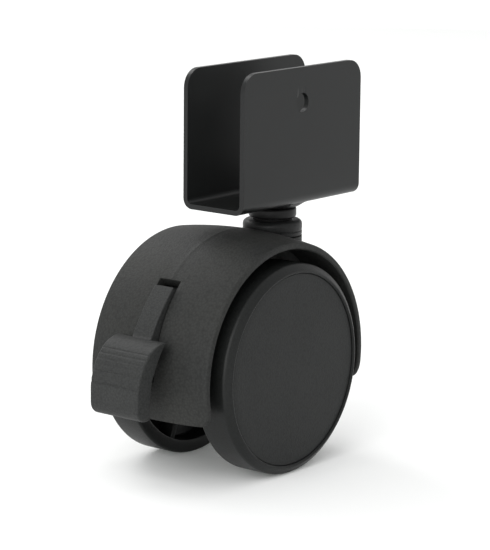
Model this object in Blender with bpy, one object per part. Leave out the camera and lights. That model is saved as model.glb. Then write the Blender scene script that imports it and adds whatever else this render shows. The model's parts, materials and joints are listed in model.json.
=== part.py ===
"""Hooded twin-wheel furniture caster with a front brake lever and a steel channel bracket.

The bracket clamps on the lower edge of an upright panel. Lengths are in metres, +Z is up.
The origin is on the swivel axis, in the plane where the panel's edge sits. The wheels turn
about Y, trail towards -X, and the brake lever is at their front, on the -X side.
"""

import math

import bmesh
import bpy
from mathutils import Matrix, Vector

# Clearances shared by all pieces
SEAT_GAP = 0.0003
RUN_GAP = 0.00006

# Channel bracket
PANEL_SLOT = 0.0152
SHEET = 0.0012
BRACKET_LENGTH = 0.0450
BRACKET_HEIGHT = 0.0330
BEND_RADIUS = 0.0013
FLANGE_CORNER = 0.0045
SCREW_HOLE_RADIUS = 0.0023
SCREW_HOLE_BELOW_TOP = 0.0084
SCREW_HOLE_FORWARD = 0.0006
DIMPLE_DEPTH = 0.0011
DIMPLE_SLOPE = 0.0026

# Swivel stem, from the riveted head in the bracket down to its tip in the housing
HEAD_RADIUS = 0.0050
TENON_RADIUS = 0.0030
STEM_FLANGE_RADIUS = 0.00575
STEM_FLANGE_HEIGHT = 0.0024
COLLAR_HEIGHT = 0.0026
COLLAR_STEP = 0.0004
STEM_RADIUS = 0.0040
STEM_LENGTH = 0.0290
RING_ABOVE_TIP = 0.0024
RING_HEIGHT = 0.0009
RING_DEPTH = 0.0007
RING_STANDOUT = 0.0008
RING_OPENING = 70.0

# Stem bush, thrust disc and the socket that holds them
BUSH_STANDOFF = 0.0006
BUSH_WALL = 0.0016
BUSH_FLANGE_HEIGHT = 0.0036
BUSH_FLANGE_ROUND = 0.0013
SOCKET_WALL = 0.0012
SOCKET_FLOOR = 0.0018
THRUST_DISC_HEIGHT = 0.0010

# Wheels, measured outwards from the middle plane
WHEEL_RADIUS = 0.0250
WHEEL_WIDTH = 0.0097
WHEEL_SPACING = 0.0204
RIM_WALL = 0.0032
TREAD_EDGE = 0.0006
SHOULDER_RUN = 0.0014
WHEEL_WEB = 0.0020
RIB_THICKNESS = 0.0014
RIB_COUNT = 8
HUB_WALL = 0.0022
CLIP_WELL_MARGIN = 0.0014

# Toothed ring on each hub, which the brake lever locks
TOOTH_COUNT = 24
TOOTH_TIP_RADIUS = 0.0126
TOOTH_HEIGHT = 0.0020
TOOTH_RING_WIDTH = 0.0024
TOOTH_ROOT_SHARE = 0.56
TOOTH_TIP_SHARE = 0.36

# Wheel caps
CAP_LIP = 0.0022
CAP_FACE_DEPTH = 0.0003
CAP_THICKNESS = 0.0016
CAP_EDGE_ROUND = 0.0004
CAP_SKIRT_INSET = 0.0020
CAP_SKIRT_WALL = 0.0011
CAP_SKIRT_LENGTH = 0.0016

# Axle and what is on it
AXLE_RADIUS = 0.0030
AXLE_STUB = 0.0006
HUB_BUSH_WALL = 0.0016
WASHER_THICKNESS = 0.0005
CLIP_THICKNESS = 0.0006
CLIP_WIDTH = 0.0030
CLIP_GROOVE_DEPTH = 0.0006

# Housing: a hood over both wheels, on two cheeks that hold the axle and the brake pin
TRAIL = 0.0160
CROWN_GAP = 0.0048
HOOD_WHEEL_GAP = 0.0031
HOOD_WALL = 0.0029
HOOD_BARREL = 0.0014
HOOD_EDGE_ROUND = 0.0007
FACE_STANDOUT = 0.0024
HOOD_END_ANGLE = -17.3
HOOD_REAR_END_ANGLE = -14.6
HOOD_CORNER_RISE = 0.0043
HOOD_CORNER_INSET = 0.0021
HOOD_CORNER_SHARES = (0.0, 0.06, 0.2, 0.4, 0.65)
CHEEK_WALL = 0.0021
CHEEK_FRONT_ANGLE = 20.0
CHEEK_REAR_ANGLE = 188.0
AXLE_BOSS_RADIUS = 0.0065
AXLE_BOSS_STANDOUT = 0.0003

# Brake lever, with angles measured up from the horizontal on the -X side of the axle
LEVER_WIDTH = 0.0056
LEVER_TRAVEL = 13.0
PIVOT_ANGLE = 41.0
PIVOT_DEPTH = 0.0060
PIN_RADIUS = 0.0015
PIVOT_BOSS_WALL = 0.0018
SLOT_TOP_ANGLE = 45.8
SLOT_END_ANGLE = 0.0
SLOT_MARGIN = 0.0003
CHEEK_SETBACK = 0.0001
NECK_TOP_ANGLE = 41.3
NECK_TOP_RISE = 0.0009
NECK_END_ANGLE = 17.6
NECK_RISE = 0.0024
NECK_RISE_POWER = 1.6
NECK_ROOT_ANGLE = 5.5
NECK_ROOT_SPAN = 4.0
NECK_TAPER_ANGLE = 9.0
PEDAL_WIDTH = 0.0144
PEDAL_REACH = 0.0104
PEDAL_THICKNESS = 0.0044
PEDAL_LENGTH = 0.0172
PEDAL_ROUND = 0.0030
PEDAL_TOP_DROP = 0.64
PEDAL_REACH_POWER = 0.92
PEDAL_DROP_POWER = 1.15
PEDAL_BACK = ((0.0, 0.26), (0.0009, 0.53), (0.0027, 0.76))
BOSS_BLEND = 0.9
BOSS_BLEND_ANGLES = (-50.0, 60.0)
TONGUE_WIDTH = 0.0044
LUG_LENGTH = 0.0072
LUG_TIP_WIDTH = 0.0009
LUG_SIDE_GAP = 0.0002

# Leaf spring that presses on the lever's boss
SPRING_THICKNESS = 0.0004
SPRING_SIDE_GAP = 0.0005
SPRING_BOW = 0.0007
SPRING_SLOT_DEPTH = 0.0009

# Facets
ROUND_STEPS = 48
HOOD_STEPS = 38
SMALL_STEPS = 24
SMOOTH_ANGLE = math.radians(34.0)

# Places that follow from the sizes above
HOOD_RADIUS = WHEEL_RADIUS + HOOD_WHEEL_GAP + HOOD_WALL
HOOD_INNER_RADIUS = HOOD_RADIUS - HOOD_WALL
AXLE_DROP = SHEET + CROWN_GAP + HOOD_RADIUS
WHEEL_INBOARD = WHEEL_SPACING / 2
WHEEL_OUTBOARD = WHEEL_INBOARD + WHEEL_WIDTH
HOOD_HALF_WIDTH = WHEEL_OUTBOARD - FACE_STANDOUT
SLOT_HALF_WIDTH = LEVER_WIDTH / 2 + SLOT_MARGIN
CHEEK_INSIDE = SLOT_HALF_WIDTH + CHEEK_SETBACK
CHEEK_OUTSIDE = CHEEK_INSIDE + CHEEK_WALL
AXLE_BOSS_END = CHEEK_OUTSIDE + AXLE_BOSS_STANDOUT
WASHER_OUTSIDE = AXLE_BOSS_END + SEAT_GAP + WASHER_THICKNESS
HUB_INBOARD = WASHER_OUTSIDE + SEAT_GAP
HUB_BORE_RADIUS = AXLE_RADIUS + RUN_GAP
HUB_BUSH_RADIUS = HUB_BORE_RADIUS + HUB_BUSH_WALL
HUB_RADIUS = HUB_BUSH_RADIUS + SEAT_GAP + HUB_WALL
CAP_FACE = WHEEL_OUTBOARD - CAP_FACE_DEPTH
CAP_BACK = CAP_FACE - CAP_THICKNESS
CAP_RADIUS = WHEEL_RADIUS - CAP_LIP - SEAT_GAP
WEB_OUTBOARD = CAP_BACK - SEAT_GAP
WEB_INBOARD = WEB_OUTBOARD - CAP_SKIRT_LENGTH - SEAT_GAP - WHEEL_WEB / 2
CLIP_OUTBOARD = WEB_OUTBOARD - AXLE_STUB - SEAT_GAP
HUB_OUTBOARD = CLIP_OUTBOARD - CLIP_THICKNESS - SEAT_GAP
STEM_FLANGE_TOP = -SHEET - DIMPLE_DEPTH - SEAT_GAP
STEM_FLANGE_BASE = STEM_FLANGE_TOP - STEM_FLANGE_HEIGHT
STEM_TIP = STEM_FLANGE_BASE - STEM_LENGTH
COLLAR_RADIUS = STEM_RADIUS + COLLAR_STEP
RING_BASE = STEM_TIP + RING_ABOVE_TIP
RING_TOP = RING_BASE + RING_HEIGHT
RING_RADIUS = STEM_RADIUS + RING_STANDOUT
BUSH_BORE_RADIUS = STEM_RADIUS + RUN_GAP
BUSH_RADIUS = BUSH_BORE_RADIUS + BUSH_WALL
BUSH_TOP = STEM_FLANGE_BASE - BUSH_STANDOFF
BUSH_FLANGE_BASE = BUSH_TOP - BUSH_FLANGE_HEIGHT
SOCKET_BORE_RADIUS = BUSH_RADIUS + SEAT_GAP
SOCKET_RADIUS = SOCKET_BORE_RADIUS + SOCKET_WALL
SOCKET_TOP = BUSH_FLANGE_BASE - SEAT_GAP
THRUST_DISC_TOP = STEM_TIP - SEAT_GAP
SOCKET_BORE_BASE = THRUST_DISC_TOP - THRUST_DISC_HEIGHT - SEAT_GAP
SOCKET_BASE = SOCKET_BORE_BASE - SOCKET_FLOOR
TOOTH_RING_INBOARD = SOCKET_RADIUS + SEAT_GAP
TOOTH_RING_OUTBOARD = TOOTH_RING_INBOARD + TOOTH_RING_WIDTH
TOOTH_ROOT_RADIUS = TOOTH_TIP_RADIUS - TOOTH_HEIGHT
RIB_INBOARD = max(TOOTH_RING_OUTBOARD + SEAT_GAP, WHEEL_INBOARD + SEAT_GAP)
PIVOT_BOSS_RADIUS = PIN_RADIUS + RUN_GAP + PIVOT_BOSS_WALL


def front_polar(radius, degrees):
    """The X and Z of a point round the axle, with its angle up from the -X side."""
    angle = math.radians(degrees)
    return Vector((-radius * math.cos(angle), radius * math.sin(angle)))


PIVOT = front_polar(HOOD_RADIUS - PIVOT_DEPTH, PIVOT_ANGLE)


def turned_back(point):
    """A point of the applied lever, moved to where it is with the lever released."""
    return PIVOT + Matrix.Rotation(math.radians(-LEVER_TRAVEL), 2) @ (Vector(point) - PIVOT)


def arc(centre, radius, start, end, steps):
    """Points along an arc, in degrees, with both ends."""
    points = []
    for step in range(steps + 1):
        angle = math.radians(start + (end - start) * step / steps)
        points.append((centre[0] + radius * math.cos(angle), centre[1] + radius * math.sin(angle)))
    return points


def finish(name, colour, roughness, metallic=0.0):
    """A plain material of one colour."""
    material = bpy.data.materials.new(name)
    material.use_nodes = True
    shader = material.node_tree.nodes["Principled BSDF"]
    shader.inputs["Base Color"].default_value = (*colour, 1.0)
    shader.inputs["Roughness"].default_value = roughness
    shader.inputs["Metallic"].default_value = metallic
    return material


def piece(name, bm, material=None, parent=None):
    """A scene object from a bmesh, with its faces turned out and its round sides smooth."""
    bmesh.ops.remove_doubles(bm, verts=bm.verts, dist=1e-7)
    bmesh.ops.recalc_face_normals(bm, faces=bm.faces)
    mesh = bpy.data.meshes.new(name)
    bm.to_mesh(mesh)
    bm.free()
    mesh.shade_smooth()
    mesh.set_sharp_from_angle(angle=SMOOTH_ANGLE)
    if material:
        mesh.materials.append(material)
    obj = bpy.data.objects.new(name, mesh)
    obj.parent = parent
    bpy.context.scene.collection.objects.link(obj)
    return obj


def combine(target, operation, *helpers, solver="EXACT"):
    """Adds, cuts or intersects hidden helper solids, one Boolean modifier for each."""
    for helper in helpers:
        modifier = target.modifiers.new(helper.name, "BOOLEAN")
        modifier.operation = operation
        modifier.solver = solver
        modifier.object = helper
        helper.hide_render = True
        helper.display_type = "WIRE"


def turned(outline, steps, axis="Z"):
    """A bmesh spun from a closed outline of (radius, height) points, round Z or Y."""
    bm = bmesh.new()
    points = [bm.verts.new((radius, 0.0, height)) for radius, height in outline]
    for first, second in zip(points, points[1:] + points[:1]):
        if max(first.co.x, second.co.x) > 0.0:
            bm.edges.new((first, second))
    bmesh.ops.spin(
        bm,
        geom=bm.verts[:] + bm.edges[:],
        cent=(0.0, 0.0, 0.0),
        axis=(0.0, 0.0, 1.0),
        angle=math.tau,
        steps=steps,
        use_merge=True,
    )
    if axis == "Y":
        bmesh.ops.rotate(bm, verts=bm.verts, matrix=Matrix.Rotation(-math.pi / 2, 3, "X"))
    return bm


def pin(radius, low, high, steps=SMALL_STEPS, axis="Z", chamfer=0.0):
    """A round bar along Z or Y, with both ends chamfered."""
    outline = [(0.0, low), (radius - chamfer, low), (radius, low + chamfer)]
    outline += [(radius, high - chamfer), (radius - chamfer, high), (0.0, high)]
    return turned(outline, steps, axis)


def tube(inner, outer, low, high, steps=SMALL_STEPS, axis="Z"):
    """A plain ring or sleeve along Z or Y."""
    return turned([(inner, low), (outer, low), (outer, high), (inner, high)], steps, axis)


def plate(outline, low, high, axis="Y"):
    """A prism from a flat outline: (x, z) points along Y, or (y, z) points along X."""
    bm = bmesh.new()
    if axis == "Y":
        corners = [(first, low, second) for first, second in outline]
        shift = (0.0, high - low, 0.0)
    else:
        corners = [(low, first, second) for first, second in outline]
        shift = (high - low, 0.0, 0.0)
    face = bm.faces.new([bm.verts.new(corner) for corner in corners])
    grown = bmesh.ops.extrude_face_region(bm, geom=[face])
    moved = [item for item in grown["geom"] if isinstance(item, bmesh.types.BMVert)]
    bmesh.ops.translate(bm, verts=moved, vec=shift)
    return bm


def shifted(bm, x=0.0, y=0.0, z=0.0):
    """The same bmesh, moved."""
    bmesh.ops.translate(bm, verts=bm.verts, vec=(x, y, z))
    return bm


def axis_empty(name, location, parent=None):
    """An empty on a joint's axis, which its moving pieces are parented to."""
    empty = bpy.data.objects.new(name, None)
    empty.location = location
    empty.parent = parent
    bpy.context.scene.collection.objects.link(empty)
    return empty


def make_bracket(material):
    """Sheet steel bent to a channel, with rounded flange corners and a dimpled floor."""
    outside = PANEL_SLOT / 2 + SHEET
    inside = PANEL_SLOT / 2
    top = BRACKET_HEIGHT - SHEET
    bend = outside - SHEET - BEND_RADIUS
    middle = BEND_RADIUS
    section = [(-inside, top), (-outside, top)]
    section += arc((-bend, middle), BEND_RADIUS + SHEET, 180.0, 270.0, 6)
    section += arc((bend, middle), BEND_RADIUS + SHEET, 270.0, 360.0, 6)
    section += [(outside, top), (inside, top)]
    section += arc((bend, middle), BEND_RADIUS, 360.0, 270.0, 6)
    section += arc((-bend, middle), BEND_RADIUS, 270.0, 180.0, 6)
    half = BRACKET_LENGTH / 2
    bracket = piece("u_bracket", plate(section, -half, half, axis="X"), material)

    low = -SHEET - DIMPLE_DEPTH
    side = [(-half, 2 * low), (half, 2 * low)]
    side += arc((half - FLANGE_CORNER, top - FLANGE_CORNER), FLANGE_CORNER, 0.0, 90.0, 8)
    side += arc((FLANGE_CORNER - half, top - FLANGE_CORNER), FLANGE_CORNER, 90.0, 180.0, 8)
    blank = piece("bracket_blank", plate(side, -2 * outside, 2 * outside))
    combine(bracket, "INTERSECT", blank)

    floor = HEAD_RADIUS + SEAT_GAP
    under = [(0.0, -SHEET / 2), (0.0, low), (floor + SHEET, low)]
    under += [(floor + SHEET + DIMPLE_SLOPE, -SHEET), (floor + SHEET + DIMPLE_SLOPE, -SHEET / 2)]
    over = [(0.0, SHEET), (0.0, -DIMPLE_DEPTH), (floor, -DIMPLE_DEPTH)]
    over += [(floor + DIMPLE_SLOPE, 0.0), (floor + DIMPLE_SLOPE, SHEET)]
    dimple = piece("dimple_under", turned(under, SMALL_STEPS))
    recess = piece("dimple_over", turned(over, SMALL_STEPS))
    hole = piece("tenon_hole", pin(TENON_RADIUS + SEAT_GAP, 2 * low, SHEET))
    combine(bracket, "UNION", dimple)
    combine(bracket, "DIFFERENCE", recess, hole)

    screw = pin(SCREW_HOLE_RADIUS, -2 * outside, 2 * outside, axis="Y")
    screw = shifted(screw, x=-SCREW_HOLE_FORWARD, z=top - SCREW_HOLE_BELOW_TOP)
    screw_hole = piece("screw_hole", screw)
    combine(bracket, "DIFFERENCE", screw_hole)


def make_stem(material, ring_material):
    """The riveted stem, and the open spring ring in the groove near its tip."""
    groove = STEM_RADIUS - RING_DEPTH
    head_base = -DIMPLE_DEPTH + SEAT_GAP
    chamfer = STEM_FLANGE_HEIGHT / 6
    outline = [(0.0, 0.0), (HEAD_RADIUS, 0.0), (HEAD_RADIUS, head_base), (TENON_RADIUS, head_base)]
    outline += [(TENON_RADIUS, STEM_FLANGE_TOP), (STEM_FLANGE_RADIUS - chamfer, STEM_FLANGE_TOP)]
    outline += [(STEM_FLANGE_RADIUS, STEM_FLANGE_TOP - chamfer)]
    outline += [(STEM_FLANGE_RADIUS, STEM_FLANGE_BASE + chamfer)]
    outline += [(STEM_FLANGE_RADIUS - chamfer, STEM_FLANGE_BASE)]
    outline += [(COLLAR_RADIUS, STEM_FLANGE_BASE)]
    outline += [(COLLAR_RADIUS, STEM_FLANGE_BASE - COLLAR_HEIGHT + COLLAR_STEP)]
    outline += [(STEM_RADIUS, STEM_FLANGE_BASE - COLLAR_HEIGHT)]
    outline += [(STEM_RADIUS, RING_TOP + SEAT_GAP), (groove, RING_TOP + SEAT_GAP)]
    outline += [(groove, RING_BASE - SEAT_GAP), (STEM_RADIUS, RING_BASE - SEAT_GAP)]
    outline += [(STEM_RADIUS, STEM_TIP + RING_HEIGHT), (STEM_RADIUS - RING_HEIGHT, STEM_TIP)]
    outline += [(0.0, STEM_TIP)]
    piece("swivel_stem", turned(outline, SMALL_STEPS), material)

    ring = tube(groove + SEAT_GAP / 2, RING_RADIUS, RING_BASE, RING_TOP)
    snap_ring = piece("stem_snap_ring", ring, ring_material)
    wedge = [(0.0, 0.0)] + arc((0.0, 0.0), 2 * RING_RADIUS, -RING_OPENING / 2, RING_OPENING / 2, 2)
    opening = bmesh.new()
    low = [opening.verts.new((x, y, RING_BASE - RING_HEIGHT)) for x, y in wedge]
    lower = opening.faces.new(low)
    grown = bmesh.ops.extrude_face_region(opening, geom=[lower])
    moved = [item for item in grown["geom"] if isinstance(item, bmesh.types.BMVert)]
    bmesh.ops.translate(opening, verts=moved, vec=(0.0, 0.0, 3 * RING_HEIGHT))
    combine(snap_ring, "DIFFERENCE", piece("ring_opening", opening))


def make_stem_bearing(bush_material, disc_material, parent):
    """The flanged bush that the stem turns in, and the disc that its tip stands on."""
    well = COLLAR_RADIUS + SEAT_GAP
    well_base = STEM_FLANGE_BASE - COLLAR_HEIGHT - SEAT_GAP
    round_centre = (SOCKET_RADIUS - BUSH_FLANGE_ROUND, BUSH_TOP - BUSH_FLANGE_ROUND)
    bush_base = RING_TOP + SEAT_GAP
    outline = [(BUSH_BORE_RADIUS, bush_base), (BUSH_RADIUS, bush_base)]
    outline += [(BUSH_RADIUS, BUSH_FLANGE_BASE), (SOCKET_RADIUS, BUSH_FLANGE_BASE)]
    outline += arc(round_centre, BUSH_FLANGE_ROUND, 0.0, 90.0, 5)
    outline += [(well, BUSH_TOP), (well, well_base), (BUSH_BORE_RADIUS, well_base)]
    piece("stem_bush", turned(outline, SMALL_STEPS), bush_material, parent)
    disc = pin(STEM_RADIUS, THRUST_DISC_TOP - THRUST_DISC_HEIGHT, THRUST_DISC_TOP)
    piece("thrust_disc", disc, disc_material, parent)


def hood_section(half_width):
    """The hood's cut outline at one angle, as (radius, y) points of a rounded, crowned strip."""
    barrel = HOOD_RADIUS - HOOD_BARREL
    edge = HOOD_EDGE_ROUND
    flat = half_width - edge
    outline = []
    for step in range(9):
        y = -flat + 2 * flat * step / 8
        outline.append((barrel + HOOD_BARREL * (1 - (y / HOOD_HALF_WIDTH) ** 2), y))
    rim = outline[-1][0]
    far = arc((rim - edge, flat), edge, 0.0, 90.0, 3)[1:]
    outline += far
    outline += [(HOOD_INNER_RADIUS, half_width), (HOOD_INNER_RADIUS, 0.0)]
    outline += [(HOOD_INNER_RADIUS, -half_width)]
    outline += [(radius, -y) for radius, y in reversed(far)]
    return outline


def hood_shell():
    """The hood as a bmesh: strips at even angles, narrowed at both lower ends, and bridged."""
    rise = math.degrees(HOOD_CORNER_RISE / HOOD_RADIUS)
    first = HOOD_END_ANGLE
    last = 180.0 - HOOD_REAR_END_ANGLE
    corner = [first + rise * share for share in HOOD_CORNER_SHARES]
    between = (last - first - 2 * rise) / HOOD_STEPS
    body = [first + rise + between * step for step in range(HOOD_STEPS + 1)]
    angles = corner + body + [first + last - angle for angle in reversed(corner)]
    bm = bmesh.new()
    loops = []
    for angle in angles:
        along = min(1.0, (angle - first) / rise, (last - angle) / rise)
        inset = HOOD_CORNER_INSET * (1 - math.sqrt(max(0.0, 1 - (1 - along) ** 2)))
        loop = []
        for radius, y in hood_section(HOOD_HALF_WIDTH - inset):
            x, z = front_polar(radius, angle)
            loop.append(bm.verts.new((x, y, z)))
        loops.append(loop)
    for near, far in zip(loops, loops[1:]):
        for index in range(len(near)):
            after = (index + 1) % len(near)
            bm.faces.new((near[index], near[after], far[after], far[index]))
    bm.faces.new(loops[0])
    bm.faces.new(loops[-1])
    return bm


def make_housing(material, parent):
    """One moulding: hood, stem socket, axle boss and the two cheeks beside the lever."""
    housing = piece("housing", hood_shell(), material, parent)
    socket_centre = {"x": TRAIL, "z": AXLE_DROP}
    socket = shifted(pin(SOCKET_RADIUS, SOCKET_BASE, SOCKET_TOP, ROUND_STEPS // 2), **socket_centre)
    boss = pin(AXLE_BOSS_RADIUS, -AXLE_BOSS_END, AXLE_BOSS_END, axis="Y")
    rim = HOOD_INNER_RADIUS + HOOD_WALL / 2
    cheek = [(0.0, 0.0)]
    sector = CHEEK_REAR_ANGLE - CHEEK_FRONT_ANGLE
    cheek += [tuple(front_polar(rim, CHEEK_FRONT_ANGLE + sector * step / 32)) for step in range(33)]
    added = [piece("socket_body", socket, parent=parent), piece("boss_body", boss, parent=parent)]
    for name, side in (("cheek_left", 1), ("cheek_right", -1)):
        wall = plate(cheek, side * CHEEK_INSIDE, side * CHEEK_OUTSIDE)
        added.append(piece(name, wall, parent=parent))
    combine(housing, "UNION", *added, solver="MANIFOLD")

    bore = [(0.0, SOCKET_TOP + SHEET), (0.0, SOCKET_BORE_BASE)]
    bore += [(STEM_RADIUS + SEAT_GAP, SOCKET_BORE_BASE)]
    bore += [(STEM_RADIUS + SEAT_GAP, RING_BASE - SEAT_GAP)]
    bore += [(SOCKET_BORE_RADIUS, RING_BASE - SEAT_GAP), (SOCKET_BORE_RADIUS, SOCKET_TOP + SHEET)]
    bore_body = shifted(turned(bore, SMALL_STEPS), **socket_centre)
    socket_bore = piece("socket_bore", bore_body, parent=parent)
    seat = pin(SOCKET_RADIUS + SEAT_GAP, SOCKET_TOP, SOCKET_TOP + 2 * HOOD_WALL, ROUND_STEPS // 2)
    above = piece("socket_headroom", shifted(seat, **socket_centre), parent=parent)
    reach = 2 * CHEEK_OUTSIDE
    axle_hole = pin(AXLE_RADIUS + SEAT_GAP, -reach, reach, axis="Y")
    pin_hole = shifted(pin(PIN_RADIUS + SEAT_GAP, -reach, reach, axis="Y"), x=PIVOT[0], z=PIVOT[1])
    slot = [tuple(front_polar(HOOD_INNER_RADIUS - HOOD_WALL, SLOT_END_ANGLE))]
    for step in range(11):
        angle = SLOT_END_ANGLE + (SLOT_TOP_ANGLE - SLOT_END_ANGLE) * step / 10
        slot.append(tuple(front_polar(HOOD_RADIUS + HOOD_WALL, angle)))
    for step in range(10):
        angle = SLOT_TOP_ANGLE + (SLOT_END_ANGLE - SLOT_TOP_ANGLE) * step / 10
        slot.append(tuple(front_polar(HOOD_INNER_RADIUS - HOOD_WALL, angle)))
    cuts = [
        above,
        socket_bore,
        piece("axle_hole", axle_hole, parent=parent),
        piece("brake_pin_hole", pin_hole, parent=parent),
        piece("lever_slot", plate(slot, -SLOT_HALF_WIDTH, SLOT_HALF_WIDTH), parent=parent),
        piece("spring_slot", spring_slot(), parent=parent),
    ]
    combine(housing, "DIFFERENCE", *cuts, solver="MANIFOLD")


def spring_line():
    """The leaf spring's height over the axle, and the X of its free end and its held end."""
    height = PIVOT[1] + PIVOT_BOSS_RADIUS + SEAT_GAP + SPRING_THICKNESS / 2
    free = PIVOT[0] + PIN_RADIUS
    held = TRAIL - SOCKET_RADIUS + SPRING_SLOT_DEPTH - SEAT_GAP
    return height, free, held


def spring_slot():
    """The slot in the socket's front wall that holds the leaf spring's rear end."""
    height, _, held = spring_line()
    half = SPRING_THICKNESS / 2 + SEAT_GAP
    front = TRAIL - SOCKET_RADIUS - SOCKET_WALL
    back = held + SEAT_GAP
    outline = [(front, height - half), (back, height - half)]
    outline += [(back, height + half), (front, height + half)]
    return plate(outline, -SLOT_HALF_WIDTH, SLOT_HALF_WIDTH)


def make_spring(material, parent):
    """A bowed strip of spring steel that holds the lever by friction on its boss."""
    height, free, held = spring_line()
    steps = 12
    upper, lower = [], []
    for step in range(steps + 1):
        share = step / steps
        bow = SPRING_BOW * math.sin(math.pi * share) ** 2
        x = free + (held - free) * share
        upper.append((x, height + bow + SPRING_THICKNESS / 2))
        lower.append((x, height + bow - SPRING_THICKNESS / 2))
    half = CHEEK_INSIDE - SPRING_SIDE_GAP
    piece("brake_leaf_spring", plate(upper + lower[::-1], -half, half), material, parent)


def make_axle(steel, washer_material, clip_material, parent):
    """The axle fixed in the housing, with a washer and a retaining clip at each end."""
    end = WEB_OUTBOARD
    groove = AXLE_RADIUS - CLIP_GROOVE_DEPTH
    groove_in = HUB_OUTBOARD
    groove_out = CLIP_OUTBOARD + SEAT_GAP
    half = [(groove, groove_in), (groove, groove_out), (AXLE_RADIUS, groove_out)]
    half += [(AXLE_RADIUS, end - SEAT_GAP), (AXLE_RADIUS - SEAT_GAP, end)]
    outline = [(0.0, -end)] + [(radius, -y) for radius, y in reversed(half)]
    outline += [(AXLE_RADIUS, -groove_in), (AXLE_RADIUS, groove_in)] + half + [(0.0, end)]
    piece("axle", turned(outline, SMALL_STEPS, "Y"), steel, parent)
    for side, name in ((1, "left"), (-1, "right")):
        inner, outer = AXLE_RADIUS + SEAT_GAP, HUB_BUSH_RADIUS + SEAT_GAP
        faces = sorted((side * (WASHER_OUTSIDE - WASHER_THICKNESS), side * WASHER_OUTSIDE))
        piece(f"hub_washer_{name}", tube(inner, outer, *faces, axis="Y"), washer_material, parent)
        inner = groove + SEAT_GAP / 2
        faces = sorted((side * (CLIP_OUTBOARD - CLIP_THICKNESS), side * CLIP_OUTBOARD))
        clip = tube(inner, inner + CLIP_WIDTH, *faces, axis="Y")
        piece(f"axle_clip_{name}", clip, clip_material, parent)


def tooth_ring():
    """The outline of the toothed ring, with a gap centred on the -X side."""
    pitch = 360.0 / TOOTH_COUNT
    outline = []
    for index in range(TOOTH_COUNT):
        middle = 180.0 + (index + 0.5) * pitch
        root, tip = TOOTH_ROOT_SHARE * pitch / 2, TOOTH_TIP_SHARE * pitch / 2
        flank = ((TOOTH_ROOT_RADIUS, -root), (TOOTH_TIP_RADIUS, -tip))
        for radius, offset in flank + ((TOOTH_TIP_RADIUS, tip), (TOOTH_ROOT_RADIUS, root)):
            angle = math.radians(middle + offset)
            outline.append((radius * math.cos(angle), radius * math.sin(angle)))
    return outline


def tooth_ring_body(inner, low, high):
    """The toothed ring as a bmesh, with a bore that lies inside the hub's wall."""
    bm = bmesh.new()
    outer = tooth_ring()
    bore = [(x * inner / math.hypot(x, z), z * inner / math.hypot(x, z)) for x, z in outer]
    loops = []
    for points, y in ((outer, low), (outer, high), (bore, high), (bore, low)):
        loops.append([bm.verts.new((x, y, z)) for x, z in points])
    for near, far in zip(loops, loops[1:] + loops[:1]):
        for index in range(len(near)):
            after = (index + 1) % len(near)
            bm.faces.new((near[index], near[after], far[after], far[index]))
    return bm


def wheel_outline():
    """Half of the wheel's section, as (radius, y) points from the bore's inboard end outwards."""
    rim_inside = WHEEL_RADIUS - RIM_WALL
    lip = WHEEL_RADIUS - CAP_LIP
    skirt_out = CAP_RADIUS - CAP_SKIRT_INSET + SEAT_GAP
    skirt_in = skirt_out - CAP_SKIRT_WALL - 2 * SEAT_GAP
    groove_base = WEB_OUTBOARD - CAP_SKIRT_LENGTH - SEAT_GAP
    well = HUB_BUSH_RADIUS + CLIP_WELL_MARGIN
    bore = HUB_BUSH_RADIUS + SEAT_GAP
    outline = [(bore, HUB_INBOARD), (HUB_RADIUS, HUB_INBOARD), (HUB_RADIUS, WEB_INBOARD)]
    outline += [(rim_inside, WEB_INBOARD), (rim_inside, WHEEL_INBOARD)]
    outline += [(WHEEL_RADIUS - TREAD_EDGE, WHEEL_INBOARD)]
    outline += [(WHEEL_RADIUS, WHEEL_INBOARD + TREAD_EDGE)]
    shoulder = (WHEEL_RADIUS - TREAD_EDGE, WHEEL_OUTBOARD - SHOULDER_RUN)
    outline += arc(shoulder, TREAD_EDGE, 0.0, 60.0, 3)
    outline += [(lip + CAP_LIP / 4, WHEEL_OUTBOARD - SEAT_GAP / 3)]
    outline += [(lip + CAP_LIP / 8, WHEEL_OUTBOARD)]
    outline += [(lip, WHEEL_OUTBOARD - SEAT_GAP), (lip, WEB_OUTBOARD)]
    outline += [(skirt_out, WEB_OUTBOARD), (skirt_out, groove_base), (skirt_in, groove_base)]
    outline += [(skirt_in, WEB_OUTBOARD), (well, WEB_OUTBOARD), (well, HUB_OUTBOARD)]
    outline += [(bore, HUB_OUTBOARD)]
    return outline


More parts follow.
